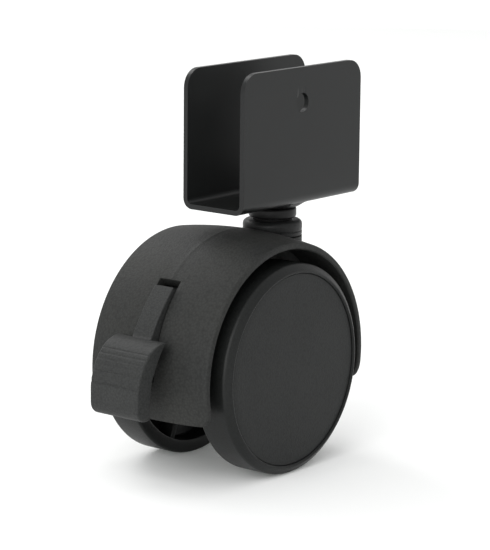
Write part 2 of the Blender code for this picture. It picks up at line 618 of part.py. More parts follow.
def make_wheel(side, name, wheel_material, cap_material, bush_material, parent):
    """One wheel with its ribs, toothed ring, hub bush and snap-in face cap."""
    outline = [(radius, side * y) for radius, y in wheel_outline()]
    wheel = piece(f"wheel_{name}", turned(outline, ROUND_STEPS, "Y"), wheel_material, parent)
    ribs = bmesh.new()
    start = (HUB_RADIUS + HUB_BUSH_RADIUS + SEAT_GAP) / 2
    ring = tooth_ring_body(start, side * TOOTH_RING_INBOARD, side * TOOTH_RING_OUTBOARD)
    end = WHEEL_RADIUS - RIM_WALL / 2
    low, high = sorted((side * RIB_INBOARD, side * (WEB_INBOARD + WHEEL_WEB / 4)))
    for index in range(RIB_COUNT):
        spoke = bmesh.ops.create_cube(ribs, size=1.0)["verts"]
        bmesh.ops.scale(ribs, verts=spoke, vec=(end - start, high - low, RIB_THICKNESS))
        bmesh.ops.translate(ribs, verts=spoke, vec=((start + end) / 2, (low + high) / 2, 0.0))
        turn = Matrix.Rotation((index + 0.5) * math.tau / RIB_COUNT, 3, "Y")
        bmesh.ops.rotate(ribs, verts=spoke, matrix=turn)
    combine(
        wheel,
        "UNION",
        piece(f"tooth_ring_{name}", ring, parent=parent),
        piece(f"ribs_{name}", ribs, parent=parent),
    )

    faces = sorted((side * HUB_INBOARD, side * HUB_OUTBOARD))
    bush = tube(HUB_BORE_RADIUS, HUB_BUSH_RADIUS, *faces, axis="Y")
    piece(f"hub_bush_{name}", bush, bush_material, parent)

    skirt = CAP_RADIUS - CAP_SKIRT_INSET
    skirt_end = CAP_BACK - CAP_SKIRT_LENGTH
    edge = (CAP_RADIUS - CAP_EDGE_ROUND, CAP_FACE - CAP_EDGE_ROUND)
    outline = [(0.0, CAP_BACK), (skirt - CAP_SKIRT_WALL, CAP_BACK)]
    outline += [(skirt - CAP_SKIRT_WALL, skirt_end)]
    outline += [(skirt, skirt_end), (skirt, CAP_BACK), (CAP_RADIUS, CAP_BACK)]
    outline += arc(edge, CAP_EDGE_ROUND, 0.0, 90.0, 3) + [(0.0, CAP_FACE)]
    cap = turned([(radius, side * y) for radius, y in outline], ROUND_STEPS, "Y")
    piece(f"wheel_cap_{name}", cap, cap_material, parent)


def pedal_outline():
    """The pedal's side outline: a hooked fin that leaves the hood and hangs in front of it."""
    root = front_polar(HOOD_RADIUS + NECK_RISE, NECK_END_ANGLE)
    front = -HOOD_RADIUS - PEDAL_REACH
    base = root[1] - PEDAL_LENGTH
    back = front + PEDAL_THICKNESS
    outer = []
    for step in range(10):
        angle = math.radians(90.0 * step / 9)
        x = root[0] + (front - root[0]) * math.sin(angle) ** PEDAL_REACH_POWER
        fall = PEDAL_TOP_DROP * (1 - max(0.0, math.cos(angle)) ** PEDAL_DROP_POWER)
        z = base + PEDAL_LENGTH * (1 - fall)
        outer.append((x, z))
    outer += arc((front + PEDAL_ROUND, base + PEDAL_ROUND), PEDAL_ROUND, 180.0, 270.0, 3)
    inner = [(back, base)]
    inner += [(back + shift, base + share * PEDAL_LENGTH) for shift, share in PEDAL_BACK]
    return outer + inner


def make_lever(material, pin_material, parent, pivot):
    """The lever as one moulding on its pin: pedal, neck, pivot boss, tongue and locking lug."""
    half = LEVER_WIDTH / 2
    step_in = SLOT_MARGIN / 3
    neck = []
    for step in range(9):
        share = step / 8
        angle = NECK_TOP_ANGLE + (NECK_END_ANGLE - NECK_TOP_ANGLE) * share
        rise = NECK_TOP_RISE + (NECK_RISE - NECK_TOP_RISE) * share**NECK_RISE_POWER
        neck.append(tuple(front_polar(HOOD_RADIUS + rise, angle)))
    fin = pedal_outline()
    inner_fin = HOOD_RADIUS + PEDAL_REACH - PEDAL_THICKNESS / 2
    neck += [tuple(front_polar(inner_fin, NECK_ROOT_ANGLE + NECK_ROOT_SPAN))]
    neck += [tuple(front_polar(inner_fin, NECK_ROOT_ANGLE))]
    inside = HOOD_INNER_RADIUS - HOOD_WALL
    neck += [tuple(front_polar(inside, NECK_ROOT_ANGLE + NECK_TAPER_ANGLE))]
    side_angle, top_angle = BOSS_BLEND_ANGLES
    boss_side = PIVOT + front_polar(PIVOT_BOSS_RADIUS * BOSS_BLEND, side_angle)
    boss_top = PIVOT + front_polar(PIVOT_BOSS_RADIUS * BOSS_BLEND, top_angle)
    neck += [tuple(boss_side), tuple(PIVOT), tuple(boss_top)]

    tip = TOOTH_ROOT_RADIUS + 2 * SEAT_GAP
    flank = TOOTH_TIP_RADIUS + SEAT_GAP
    gap_angle = math.radians((1 - TOOTH_TIP_SHARE) * 180.0 / TOOTH_COUNT)
    gap_half = gap_angle * TOOTH_TIP_RADIUS - SEAT_GAP
    back = tip + LUG_LENGTH
    lug = [(-tip, LUG_TIP_WIDTH / 2), (-flank, gap_half), (-flank - TOOTH_HEIGHT, TONGUE_WIDTH / 2)]
    lug += [(-back, TONGUE_WIDTH / 2)]
    lug += [(x, -z) for x, z in reversed(lug)]
    lug = [tuple(turned_back(point)) for point in lug]
    lug_half = min(TOOTH_RING_OUTBOARD, WHEEL_INBOARD) - LUG_SIDE_GAP
    foot = turned_back((-back + TONGUE_WIDTH / 2, 0.0))
    across = (foot - PIVOT).orthogonal().normalized() * TONGUE_WIDTH / 2
    tongue = [PIVOT + across, foot + across, foot - across, PIVOT - across]

    offset = {"x": -PIVOT[0], "z": -PIVOT[1]}
    boss = pin(PIVOT_BOSS_RADIUS, -half - step_in, half + step_in, axis="Y")
    lever = piece("brake_lever", boss, material, pivot)
    for name, outline, reach in (
        ("lever_neck", neck, half),
        ("lever_tongue", tongue, half - step_in),
        ("lever_lug", lug, lug_half),
        ("lever_pedal", fin, PEDAL_WIDTH / 2),
    ):
        body = shifted(plate(outline, -reach, reach), **offset)
        combine(lever, "UNION", piece(name, body, parent=pivot))
    hole = pin(PIN_RADIUS + RUN_GAP, -2 * half, 2 * half, axis="Y")
    combine(lever, "DIFFERENCE", piece("lever_hole", hole, parent=pivot))
    end = CHEEK_OUTSIDE - SEAT_GAP
    pivot_pin = pin(PIN_RADIUS, -end, end, axis="Y", chamfer=SEAT_GAP / 2)
    piece("brake_pin", shifted(pivot_pin, x=PIVOT[0], z=PIVOT[1]), pin_material, parent)


def main():
    for obj in list(bpy.data.objects):
        bpy.data.objects.remove(obj, do_unlink=True)

    coated_steel = finish("black_coated_steel", (0.045, 0.048, 0.048), 0.32)
    bare_steel = finish("zinc_steel", (0.55, 0.55, 0.53), 0.35, 1.0)
    dark_steel = finish("blackened_steel", (0.03, 0.03, 0.03), 0.45, 0.6)
    nylon = finish("black_nylon", (0.055, 0.057, 0.055), 0.62)
    wheel_nylon = finish("wheel_nylon", (0.050, 0.052, 0.052), 0.48)
    cap_nylon = finish("cap_nylon", (0.052, 0.054, 0.054), 0.42)
    lever_nylon = finish("lever_nylon", (0.070, 0.072, 0.070), 0.55)
    acetal = finish("grey_acetal", (0.09, 0.09, 0.088), 0.5)

    swivel_axis = axis_empty("swivel_axis", (0.0, 0.0, 0.0))
    wheel_axis = axis_empty("wheel_axis", (-TRAIL, 0.0, -AXLE_DROP), swivel_axis)
    brake_axis = axis_empty("brake_axis", (PIVOT[0], 0.0, PIVOT[1]), wheel_axis)

    make_bracket(coated_steel)
    make_stem(dark_steel, bare_steel)
    make_stem_bearing(acetal, bare_steel, swivel_axis)
    make_housing(nylon, wheel_axis)
    make_axle(bare_steel, acetal, bare_steel, wheel_axis)
    make_spring(bare_steel, wheel_axis)
    make_lever(lever_nylon, bare_steel, wheel_axis, brake_axis)
    for side, name in ((1, "left"), (-1, "right")):
        make_wheel(side, name, wheel_nylon, cap_nylon, acetal, wheel_axis)


if __name__ == "__main__":
    main()
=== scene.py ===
"""A hooded twin-wheel furniture caster with a channel bracket, built around its packed model."""

import json
import math

import bmesh
import bpy
from bpy.props import FloatProperty, FloatVectorProperty, IntProperty, PointerProperty
from mathutils import Matrix, Vector


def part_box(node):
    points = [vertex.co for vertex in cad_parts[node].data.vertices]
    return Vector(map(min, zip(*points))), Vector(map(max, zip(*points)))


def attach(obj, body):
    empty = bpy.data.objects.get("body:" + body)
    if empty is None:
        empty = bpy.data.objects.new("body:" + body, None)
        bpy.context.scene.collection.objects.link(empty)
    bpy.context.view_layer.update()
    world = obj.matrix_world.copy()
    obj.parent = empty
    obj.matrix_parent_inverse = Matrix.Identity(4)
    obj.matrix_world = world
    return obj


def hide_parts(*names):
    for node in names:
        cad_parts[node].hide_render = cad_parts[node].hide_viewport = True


bl_info = {
    "name": "Furniture Caster",
    "version": (1, 0, 0),
    "blender": (4, 5, 0),
    "location": "View3D > Sidebar > Caster",
    "description": "Builds the visible pieces of a twin-wheel furniture caster",
    "category": "Object",
}

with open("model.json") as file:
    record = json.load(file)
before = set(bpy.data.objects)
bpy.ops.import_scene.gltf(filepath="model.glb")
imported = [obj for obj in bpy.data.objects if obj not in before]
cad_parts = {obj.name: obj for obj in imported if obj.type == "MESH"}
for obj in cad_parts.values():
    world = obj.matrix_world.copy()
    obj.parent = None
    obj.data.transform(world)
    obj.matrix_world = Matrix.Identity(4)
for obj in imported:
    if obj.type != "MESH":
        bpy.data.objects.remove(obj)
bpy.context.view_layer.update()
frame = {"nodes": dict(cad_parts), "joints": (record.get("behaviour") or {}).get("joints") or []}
JOINTS = {joint["name"]: joint for joint in frame["joints"]}
AXLE = Vector((JOINTS["left_wheel_spin"]["pos_m"][0], 0.0, JOINTS["left_wheel_spin"]["pos_m"][2]))
BRAKE_PIN = Vector(JOINTS["brake_press"]["pos_m"])
BRAKE_TRAVEL = JOINTS["brake_press"]["range_deg"][1]
BRACKET_LOW, BRACKET_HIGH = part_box("u_bracket")
STEM_LOW, STEM_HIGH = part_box("swivel_stem")
BUSH_LOW, BUSH_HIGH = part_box("stem_bush")
WHEEL_LOW, WHEEL_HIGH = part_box("wheel_left")
CAP_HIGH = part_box("wheel_cap_left")[1]
HUB_LOW, HUB_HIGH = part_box("hub_bush_left")
AXLE_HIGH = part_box("axle")[1]
DISC_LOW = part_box("thrust_disc")[0]
RING_LOW, RING_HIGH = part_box("stem_snap_ring")
HOOD_LOW, HOOD_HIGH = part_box("housing")

# Sizes that the boxes don't give
MM = 0.001
SEAT_GAP = 0.3 * MM
RUN_GAP = 0.06 * MM
FINE_EDGE = 0.1 * MM
SMALL_EDGE = 0.2 * MM
SOFT_EDGE = 0.25 * MM
BROAD_EDGE = 0.3 * MM
SHEET = 1.2 * MM
BEND_RADIUS = 1.3 * MM
FLANGE_CORNER = 4.5 * MM
FLANGE_CORNER_SHARE = 0.999
BRACKET_COLUMNS = 90
SCREW_HOLE_RADIUS = 2.3 * MM
SCREW_HOLE_BELOW_TOP = 8.4 * MM
SCREW_HOLE_FORWARD = 0.6 * MM
DIMPLE_DEPTH = 1.1 * MM
DIMPLE_SLOPE = 2.6 * MM
HEAD_RADIUS = 5.0 * MM
TENON_RADIUS = 3.0 * MM
STEM_RADIUS = 4.0 * MM
STEM_TIP_CHAMFER = 0.9 * MM
STEM_FLANGE_HEIGHT = 2.4 * MM
STEM_FLANGE_ROUND = 0.55 * MM
COLLAR_HEIGHT = 2.6 * MM
COLLAR_STEP = 0.4 * MM
RING_DEPTH = 0.7 * MM
BUSH_WALL = 1.6 * MM
BUSH_FLANGE_HEIGHT = 3.6 * MM
BUSH_FLANGE_ROUND = 1.3 * MM
BUSH_GROOVE_DEPTH = 0.22 * MM
WHEEL_WIDTH = 9.7 * MM
RIM_WALL = 3.2 * MM
CAP_LIP = 2.2 * MM
CAP_THICKNESS = 1.6 * MM
CAP_OVERSIZE = 0.2 * MM
CAP_SKIRT_INSET = 2.0 * MM
CAP_SKIRT_WALL = 1.1 * MM
CAP_SKIRT_LENGTH = 1.6 * MM
WHEEL_WEB = 2.0 * MM
RIB_THICKNESS = 1.4 * MM
RIB_COUNT = 8
HUB_WALL = 2.2 * MM
TOOTH_COUNT = 24
TOOTH_TIP_RADIUS = 12.6 * MM
TOOTH_HEIGHT = 2.0 * MM
TOOTH_RING_WIDTH = 2.4 * MM
TOOTH_ROOT_SHARE = 0.56
TOOTH_TIP_SHARE = 0.36
HOOD_WALL = 2.9 * MM
HOOD_BARREL = 1.4 * MM
SEAM_HALF_WIDTH = 0.14 * MM
SEAM_SHOULDER = 1.5 * MM
HOOD_END_ANGLE = -17.3
HOOD_REAR_END_ANGLE = -14.6
HOOD_CORNER_RISE = 4.3 * MM
HOOD_CORNER_INSET = 2.1 * MM
HOOD_RIM_ROUND = 0.7 * MM
CHEEK_INSIDE = 3.2 * MM
CHEEK_WALL = 2.1 * MM
CHEEK_FRONT_ANGLE = 20.0
CHEEK_REAR_ANGLE = 188.0
AXLE_BOSS_RADIUS = 6.5 * MM
LEVER_WIDTH = 5.6 * MM
SLOT_MARGIN = 0.3 * MM
SLOT_TOP_ANGLE = 45.8
SLOT_END_ANGLE = 0.0
PIN_RADIUS = 1.5 * MM
PIVOT_BOSS_WALL = 1.8 * MM
NECK_TOP_ANGLE = 41.3
NECK_TOP_RISE = 0.9 * MM
NECK_END_ANGLE = 17.6
NECK_RISE = 2.4 * MM
NECK_RISE_POWER = 1.6
NECK_ROOT_ANGLE = 5.5
NECK_ROOT_SPAN = 4.0
NECK_TAPER_ANGLE = 9.0
PEDAL_WIDTH = 14.4 * MM
PEDAL_REACH = 10.4 * MM
PEDAL_THICKNESS = 4.4 * MM
PEDAL_LENGTH = 17.2 * MM
PEDAL_ROUND = 3.0 * MM
PEDAL_TOP_DROP = 0.64
PEDAL_REACH_POWER = 0.92
PEDAL_DROP_POWER = 1.15
PEDAL_BACK = ((0.0, 0.26), (0.9 * MM, 0.53), (2.7 * MM, 0.76))
GROOVE_PITCH = 1.4 * MM
GROOVE_MARGIN = 1.7 * MM
GROOVE_HALF_WIDTH = 0.42 * MM
DEEP_GROOVES = (0, 2)
SHALLOW_SHARE = 0.45
THIN_REACH = 7.0 * MM
BOSS_BLEND = 0.9
BOSS_BLEND_ANGLES = (-50.0, 60.0)
TONGUE_WIDTH = 4.4 * MM
LUG_LENGTH = 7.2 * MM
LUG_TIP_WIDTH = 0.9 * MM

# Finishes and stage
MOULD_FLOW_SIZE = 14.0 * MM
MOULD_SPECK_SHARE = 0.55
MOULD_FLECKS = (1.35, 0.75)
MOULD_FLECK_REACH = 0.9
MOULD_RELIEF = 0.055 * MM
COAT_PEEL_SIZE = 0.9 * MM
COAT_PATCH_SIZE = 18.0 * MM
TOOL_LINE_SIZE = 1.6 * MM
PLATING_CLOUD_SIZE = 5.0 * MM
STEM_TOOL_LINES = (1.0, 1.0, 9.0)
FLOOR_RADIUS = 1.0
HORIZON_LEVEL = 1.25
HORIZON_BLEND = 0.25
SOFTBOXES = (
    ("overhead", (0.0, 0.0, 1.2), 2.0),
    ("front", (-0.75, -0.15, 0.35), 0.7),
    ("rear", (0.15, 0.75, 0.65), 0.5),
)

WHEEL_RADIUS = (WHEEL_HIGH.z - WHEEL_LOW.z) / 2
WHEEL_OUTBOARD = WHEEL_HIGH.y
WHEEL_INBOARD = WHEEL_OUTBOARD - WHEEL_WIDTH
HOOD_HALF_WIDTH = HOOD_HIGH.y
HOOD_RADIUS = AXLE.x - HOOD_LOW.x
HOOD_INNER_RADIUS = HOOD_RADIUS - HOOD_WALL
SOCKET_RADIUS = BUSH_HIGH.x
SLOT_HALF_WIDTH = LEVER_WIDTH / 2 + SLOT_MARGIN
TOOTH_RING_INBOARD = WHEEL_LOW.y
TOOTH_ROOT_RADIUS = TOOTH_TIP_RADIUS - TOOTH_HEIGHT


def colour_prop(name, description, default):
    """A base colour."""
    return FloatVectorProperty(
        name=name,
        description=description,
        default=default,
        subtype="COLOR",
        size=3,
        min=0.0,
        max=1.0,
    )


def length_prop(name, description, default):
    """A length in metres."""
    return FloatProperty(name=name, description=description, default=default, unit="LENGTH")


def angle_prop(name, description, degrees):
    """An angle, with its default in degrees."""
    default = math.radians(degrees)
    return FloatProperty(name=name, description=description, default=default, subtype="ANGLE")


def power_prop(name, description, default):
    """The power of a light in watts."""
    return FloatProperty(
        name=name, description=description, default=default, min=0.0, unit="POWER"
    )


class CasterBracketSettings(bpy.types.PropertyGroup):
    """Sizes and finish of the steel bracket and its stem."""

    coat_colour: colour_prop(
        "Coat colour", "Base colour of the bracket's coat", (0.0085, 0.0092, 0.0092)
    )
    coat_roughness: FloatProperty(
        name="Coat roughness",
        description="Mean roughness of the coat, from gloss to matte",
        default=0.36,
        min=0.0,
        max=1.0,
        subtype="FACTOR",
    )
    stem_colour: colour_prop(
        "Stem colour", "Base colour of the blackened stem", (0.012, 0.012, 0.012)
    )
    edge_round: length_prop(
        "Edge rounding", "Radius of the rounding along the sheet's cut edges", 0.22 * MM
    )


class CasterHoodSettings(bpy.types.PropertyGroup):
    """Sizes and finish of the moulded hood and the bush in it."""

    nylon_colour: colour_prop(
        "Nylon colour", "Base colour of the moulded hood", (0.0195, 0.0204, 0.0198)
    )
    grain_size: length_prop(
        "Grain size", "Distance between the grains of the moulded surface", 0.32 * MM
    )
    seam_height: length_prop(
        "Seam height", "Height of the mould seam along the middle of the hood", 0.03 * MM
    )
    edge_round: length_prop(
        "Edge rounding", "Radius of the rounding along the slot and the lower ends", 0.35 * MM
    )


class CasterWheelSettings(bpy.types.PropertyGroup):
    """Sizes and finish of the two wheels and their caps."""

    tread_colour: colour_prop(
        "Wheel colour", "Base colour of the wheel's tread and shoulder", (0.0082, 0.0090, 0.0087)
    )
    cap_colour: colour_prop(
        "Cap colour", "Base colour of the wheel's face cap", (0.0115, 0.0124, 0.0122)
    )
    bead_width: length_prop("Bead width", "Width of the raised bead round the cap", 0.55 * MM)
    cap_crown: length_prop(
        "Cap crown", "How far the middle of the cap stands proud of its edge", 0.18 * MM
    )


class CasterLeverSettings(bpy.types.PropertyGroup):
    """Sizes and finish of the brake lever."""

    lever_colour: colour_prop(
        "Lever colour", "Base colour of the moulded lever", (0.0235, 0.0245, 0.0240)
    )
    groove_count: IntProperty(
        name="Grip grooves",
        description="Number of grooves across the pedal",
        default=7,
        min=0,
        max=7,
    )
    groove_depth: length_prop("Groove depth", "Depth of the deepest grip groove", 0.20 * MM)
    edge_round: length_prop(
        "Edge rounding", "Radius of the rounding along the pedal's side edges", 0.45 * MM
    )


class CasterStageSettings(bpy.types.PropertyGroup):
    """Camera and light."""

    camera_turn: angle_prop(
        "Camera turn", "Angle of the camera round the object, from the -Y side", -51.23
    )
    camera_rise: angle_prop("Camera rise", "Angle of the camera above the floor", 11.57)
    camera_roll: angle_prop("Camera roll", "Turn of the camera round its own line of sight", 0.54)
    camera_distance: length_prop(
        "Camera distance", "Distance from the camera to its aim", 596.2 * MM
    )
    camera_aim: FloatVectorProperty(
        name="Camera aim",
        description="Point that the camera looks at",
        default=(-10.35 * MM, 0.0, -17.93 * MM),
        subtype="XYZ",
        unit="LENGTH",
        size=3,
    )
    camera_lens: FloatProperty(
        name="Camera lens",
        description="Focal length in millimetres, for a sensor of 36 mm",
        default=163.6,
        min=1.0,
    )
    sky_level: FloatProperty(
        name="Sky level",
        description="Brightness of the room above the horizon",
        default=0.80,
        min=0.0,
    )
    overhead_power: power_prop("Overhead power", "Power of the large softbox over the object", 1.0)
    front_power: power_prop(
        "Front power", "Power of the softbox in front of the hood, on the left", 4.5
    )
    rear_power: power_prop("Rear power", "Power of the softbox behind the object", 3.0)


def front_polar(radius, degrees):
    """The X and Z of a point round the axle, with its angle up from the -X side."""
    angle = math.radians(degrees)
    return Vector((-radius * math.cos(angle), radius * math.sin(angle)))


def spread(low, high, steps):
    """Evenly spaced values with both ends."""
    return [low + (high - low) * step / steps for step in range(steps + 1)]


def rounded(corners, steps=4):
    """A closed outline from (a, b, radius) corners, each rounded to its radius."""
    outline = []
    count = len(corners)
    for index, (a, b, radius) in enumerate(corners):
        here = Vector((a, b))
        before = Vector(corners[index - 1][:2]) - here
        after = Vector(corners[(index + 1) % count][:2]) - here
        if radius <= 0.0 or min(before.length, after.length) < 1e-9:
            outline.append((a, b))
            continue
        turn = before.angle(after)
        if turn > math.pi - 1e-3:
            outline.append((a, b))
            continue
        reach = min(radius / math.tan(turn / 2), 0.49 * before.length, 0.49 * after.length)
        radius = reach * math.tan(turn / 2)
        bisector = (before.normalized() + after.normalized()).normalized()
        centre = here + bisector * radius / math.sin(turn / 2)
        start = here + before.normalized() * reach - centre
        end = here + after.normalized() * reach - centre
        sweep = start.angle_signed(end)
        for step in range(steps + 1):
            spoke = Matrix.Rotation(-sweep * step / steps, 2) @ start
            outline.append(tuple(centre + spoke))
    return outline


def revolve(bm, outline, steps, place):
    """A solid turned from a closed (radius, along) outline, set out by place()."""
    rings = []
    for radius, along in outline:
        if radius < 1e-9:
            rings.append([bm.verts.new(place(0.0, along, 0.0))])
        else:
            turn = [math.tau * step / steps for step in range(steps)]
            rings.append([bm.verts.new(place(radius, along, angle)) for angle in turn])
    for near, far in zip(rings, rings[1:] + rings[:1]):
        if len(near) == 1 and len(far) == 1:
            continue
        for index in range(steps):
            after = (index + 1) % steps
            corners = [near[index % len(near)], near[after % len(near)]]
            corners += [far[after % len(far)], far[index % len(far)]]
            unique = list(dict.fromkeys(corners))
            bm.faces.new(unique)
    return bm


def rod(radius, low, high):
    """The outline of a plain round rod, from its middle line outwards."""
    return [(0.0, low), (radius, low), (radius, high), (0.0, high)]


def from_axle(x, y, z):
    """A point given from the axle."""
    return Vector((AXLE.x + x, y, AXLE.z + z))


def round_axle(side=1, x=0.0, z=0.0):
    """Sets points out round the axle, or round a line beside it, along values to that side."""

    def place(radius, along, angle):
        return from_axle(x + radius * math.cos(angle), side * along, z + radius * math.sin(angle))

    return place


def round_swivel(radius, along, angle):
    """Sets points out round the swivel axis, with the along value as the height."""
    return Vector((radius * math.cos(angle), radius * math.sin(angle), along))


def inset(outline, distance, shares=None):
    """The outline moved inwards by a distance, or by a share of it at each corner."""
    if distance == 0.0:
        return list(outline)
    points = [Vector(point) for point in outline]
    area = sum(a.x * b.y - b.x * a.y for a, b in zip(points, points[1:] + points[:1]))
    inward = 1.0 if area > 0 else -1.0
    moved = []
    for index, here in enumerate(points):
        before = (here - points[index - 1]).normalized()
        after = (points[(index + 1) % len(points)] - here).normalized()
        normal_before = Vector((-before.y, before.x)) * inward
        normal_after = Vector((-after.y, after.x)) * inward
        mitre = (normal_before + normal_after) / (1.0 + max(normal_before.dot(normal_after), -0.3))
        moved.append(tuple(here + mitre * distance * (shares[index] if shares else 1.0)))
    return moved


def add_bands(bm, loops):
    """Faces from each closed loop of points to the next."""
    for near, far in zip(loops, loops[1:]):
        for index in range(len(near)):
            after = (index + 1) % len(near)
            bm.faces.new((near[index], near[after], far[after], far[index]))


def slab(bm, outline, low, high, edge, place, steps=3, relief=None, shares=None):
    """A flat piece from an outline of (x, z), between two Y planes, with its side edges rounded.

    The relief is a small offset for each point of the outline, which fades out over the rounding.
    The shares make the rounding smaller at each point where the outline is thin.
    """
    rows = []
    for angle in spread(0.0, math.pi / 2, steps):
        rows.append((low + edge * (1 - math.cos(angle)), edge * (1 - math.sin(angle))))
    rows += [(low + high - y, inward) for y, inward in reversed(rows)]
    loops = []
    for y, inward in rows:
        points = inset(outline, inward, shares)
        if relief:
            fade = 1.0 - inward / edge
            points = [(x + a * fade, z + b * fade) for (x, z), (a, b) in zip(points, relief)]
        loops.append([bm.verts.new(place(x, y, z)) for x, z in points])
    add_bands(bm, loops)
    bm.faces.new(loops[0])
    bm.faces.new(loops[-1][::-1])
    return bm


def new_piece(name, bm, sharp_degrees=38.0):
    """A scene object from a bmesh, with its faces turned out and smooth between sharp edges."""
    bmesh.ops.remove_doubles(bm, verts=bm.verts, dist=1e-8)
    bmesh.ops.recalc_face_normals(bm, faces=bm.faces)
    mesh = bpy.data.meshes.new(name)
    bm.to_mesh(mesh)
    bm.free()
    mesh.shade_smooth()
    mesh.set_sharp_from_angle(angle=math.radians(sharp_degrees))
    obj = bpy.data.objects.new(name, mesh)
    bpy.context.scene.collection.objects.link(obj)
    return obj


def add_bevel(obj, width, degrees):
    """Rounds the edges that are sharper than an angle."""
    bevel = obj.modifiers.new("edge_round", "BEVEL")
    bevel.width = width
    bevel.segments = 3
    bevel.limit_method = "ANGLE"
    bevel.angle_limit = math.radians(degrees)
    bevel.use_clamp_overlap = True
    bevel.miter_outer = "MITER_ARC"


def add_cut(obj, cutter):
    """Cuts a helper solid away."""
    boolean = obj.modifiers.new(cutter.name, "BOOLEAN")
    boolean.operation = "DIFFERENCE"
    boolean.solver = "EXACT"
    boolean.object = cutter


def even_normals(obj):
    """Keeps large flat faces evenly shaded up to their rounded edges."""
    weighted = obj.modifiers.new("even_normals", "WEIGHTED_NORMAL")
    weighted.keep_sharp = True
    return obj


def apply_modifiers(obj, helpers=(), sharp_degrees=38.0):
    """Bakes the modifiers into the mesh and removes the helper solids."""
    depsgraph = bpy.context.evaluated_depsgraph_get()
    depsgraph.update()
    mesh = bpy.data.meshes.new_from_object(obj.evaluated_get(depsgraph))
    mesh.name = obj.name
    obj.modifiers.clear()
    obj.data = mesh
    mesh.shade_smooth()
    mesh.set_sharp_from_angle(angle=math.radians(sharp_degrees))
    for helper in helpers:
        bpy.data.objects.remove(helper, do_unlink=True)
    return obj


def joined(name, parts):
    """One object from several, with the name given."""
    for obj in bpy.context.selected_objects:
        obj.select_set(False)
    for part in parts:
        part.select_set(True)
    bpy.context.view_layer.objects.active = parts[0]
    bpy.ops.object.join()
    parts[0].name = name
    parts[0].data.name = name
    parts[0].select_set(False)
    return parts[0]


def settle(obj, material, body, slot, *nodes):
    """Gives a finished piece its material, its body and the CAD nodes that it stands for."""
    obj.data.materials.clear()
    obj.data.materials.append(material)
    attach(obj, body)
    if nodes:
        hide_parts(*nodes)
    return obj


def node(material, kind, place, **settings):
    """A shader node with its values set: plain names are attributes, IN_ names are inputs."""
    made = material.node_tree.nodes.new(kind)
    made.location = place
    for key, value in settings.items():
        if key.startswith("IN_"):
            made.inputs[key[3:].replace("_", " ")].default_value = value
        else:
            setattr(made, key, value)
    return made


def blank_material(name):
    """A node material with a Principled shader, and the object coordinates to lay patterns on."""
    material = bpy.data.materials.new(name)
    material.use_nodes = True
    material.node_tree.nodes.clear()
    output = node(material, "ShaderNodeOutputMaterial", (900, 0))
    shader = node(material, "ShaderNodeBsdfPrincipled", (600, 0))
    coordinates = node(material, "ShaderNodeTexCoord", (-900, 0))
    material.node_tree.links.new(shader.outputs["BSDF"], output.inputs["Surface"])
    return material, shader, coordinates


def ramp_between(material, source, low, high, place):
    """Two colours mixed by a noise value."""
    ramp = node(material, "ShaderNodeValToRGB", place)
    ramp.color_ramp.elements[0].position = 0.32
    ramp.color_ramp.elements[0].color = (*low, 1.0)
    ramp.color_ramp.elements[1].position = 0.68
    ramp.color_ramp.elements[1].color = (*high, 1.0)
    material.node_tree.links.new(source, ramp.inputs["Fac"])
    return ramp.outputs["Color"]


def noise(material, source, grain, detail, roughness, place):
    """A noise value with its grain size in metres, laid out by a vector."""
    made = node(
        material,
        "ShaderNodeTexNoise",
        place,
        IN_Scale=1.0 / grain,
        IN_Detail=detail,
        IN_Roughness=roughness,
    )
    material.node_tree.links.new(source, made.inputs["Vector"])
    return made.outputs["Fac"]


def vary_roughness(material, shader, source, low, high):
    """Lets a noise value move the roughness between two limits."""
    link = material.node_tree.links.new
    polish = node(material, "ShaderNodeMapRange", (0, -50), IN_To_Min=low, IN_To_Max=high)
    link(source, polish.inputs["Value"])
    link(polish.outputs["Result"], shader.inputs["Roughness"])


def add_relief(material, shader, height, strength, distance):
    """Raises a fine relief from a height value."""
    link = material.node_tree.links.new
    bump = node(
        material, "ShaderNodeBump", (300, -300), IN_Strength=strength, IN_Distance=distance
    )
    link(height, bump.inputs["Height"])
    link(bump.outputs["Normal"], shader.inputs["Normal"])


def moulded_nylon(name, colour, grain, roughness, mottling=0.10, relief=1.0, tint=(1.0, 1.0, 1.0)):
    """Moulded black nylon: fine spark-eroded grain, with faint flow mottling and rubbed patches."""
    material, shader, coordinates = blank_material(name)
    link = material.node_tree.links.new
    spot = coordinates.outputs["Object"]
    fine = noise(material, spot, grain, 3.0, 0.62, (-600, -200))
    broad = noise(material, spot, MOULD_FLOW_SIZE, 4.0, 0.55, (-600, 100))
    speck = node(
        material, "ShaderNodeTexVoronoi", (-600, 400), IN_Scale=MOULD_SPECK_SHARE / grain
    )
    link(spot, speck.inputs["Vector"])
    dark = [value * (1.0 - mottling) for value in colour]
    light = [value * (1.0 + mottling) * shade for value, shade in zip(colour, tint)]
    base = ramp_between(material, broad, dark, light, (-300, 100))
    flecks = node(
        material,
        "ShaderNodeMapRange",
        (-300, 400),
        IN_From_Max=MOULD_FLECK_REACH,
        IN_To_Min=MOULD_FLECKS[0],
        IN_To_Max=MOULD_FLECKS[1],
    )
    link(speck.outputs["Distance"], flecks.inputs["Value"])
    shade = node(material, "ShaderNodeVectorMath", (0, 200), operation="SCALE")
    link(base, shade.inputs["Vector"])
    link(flecks.outputs["Result"], shade.inputs["Scale"])
    link(shade.outputs["Vector"], shader.inputs["Base Color"])
    vary_roughness(material, shader, broad, roughness - 0.06, roughness + 0.08)
    height = node(material, "ShaderNodeMath", (-300, -200), operation="ADD")
    link(fine, height.inputs[0])
    link(speck.outputs["Distance"], height.inputs[1])
    strength = min(1.0, 0.8 * relief)
    add_relief(material, shader, height.outputs["Value"], strength, MOULD_RELIEF)
    shader.inputs["Specular IOR Level"].default_value = 0.20
    return material


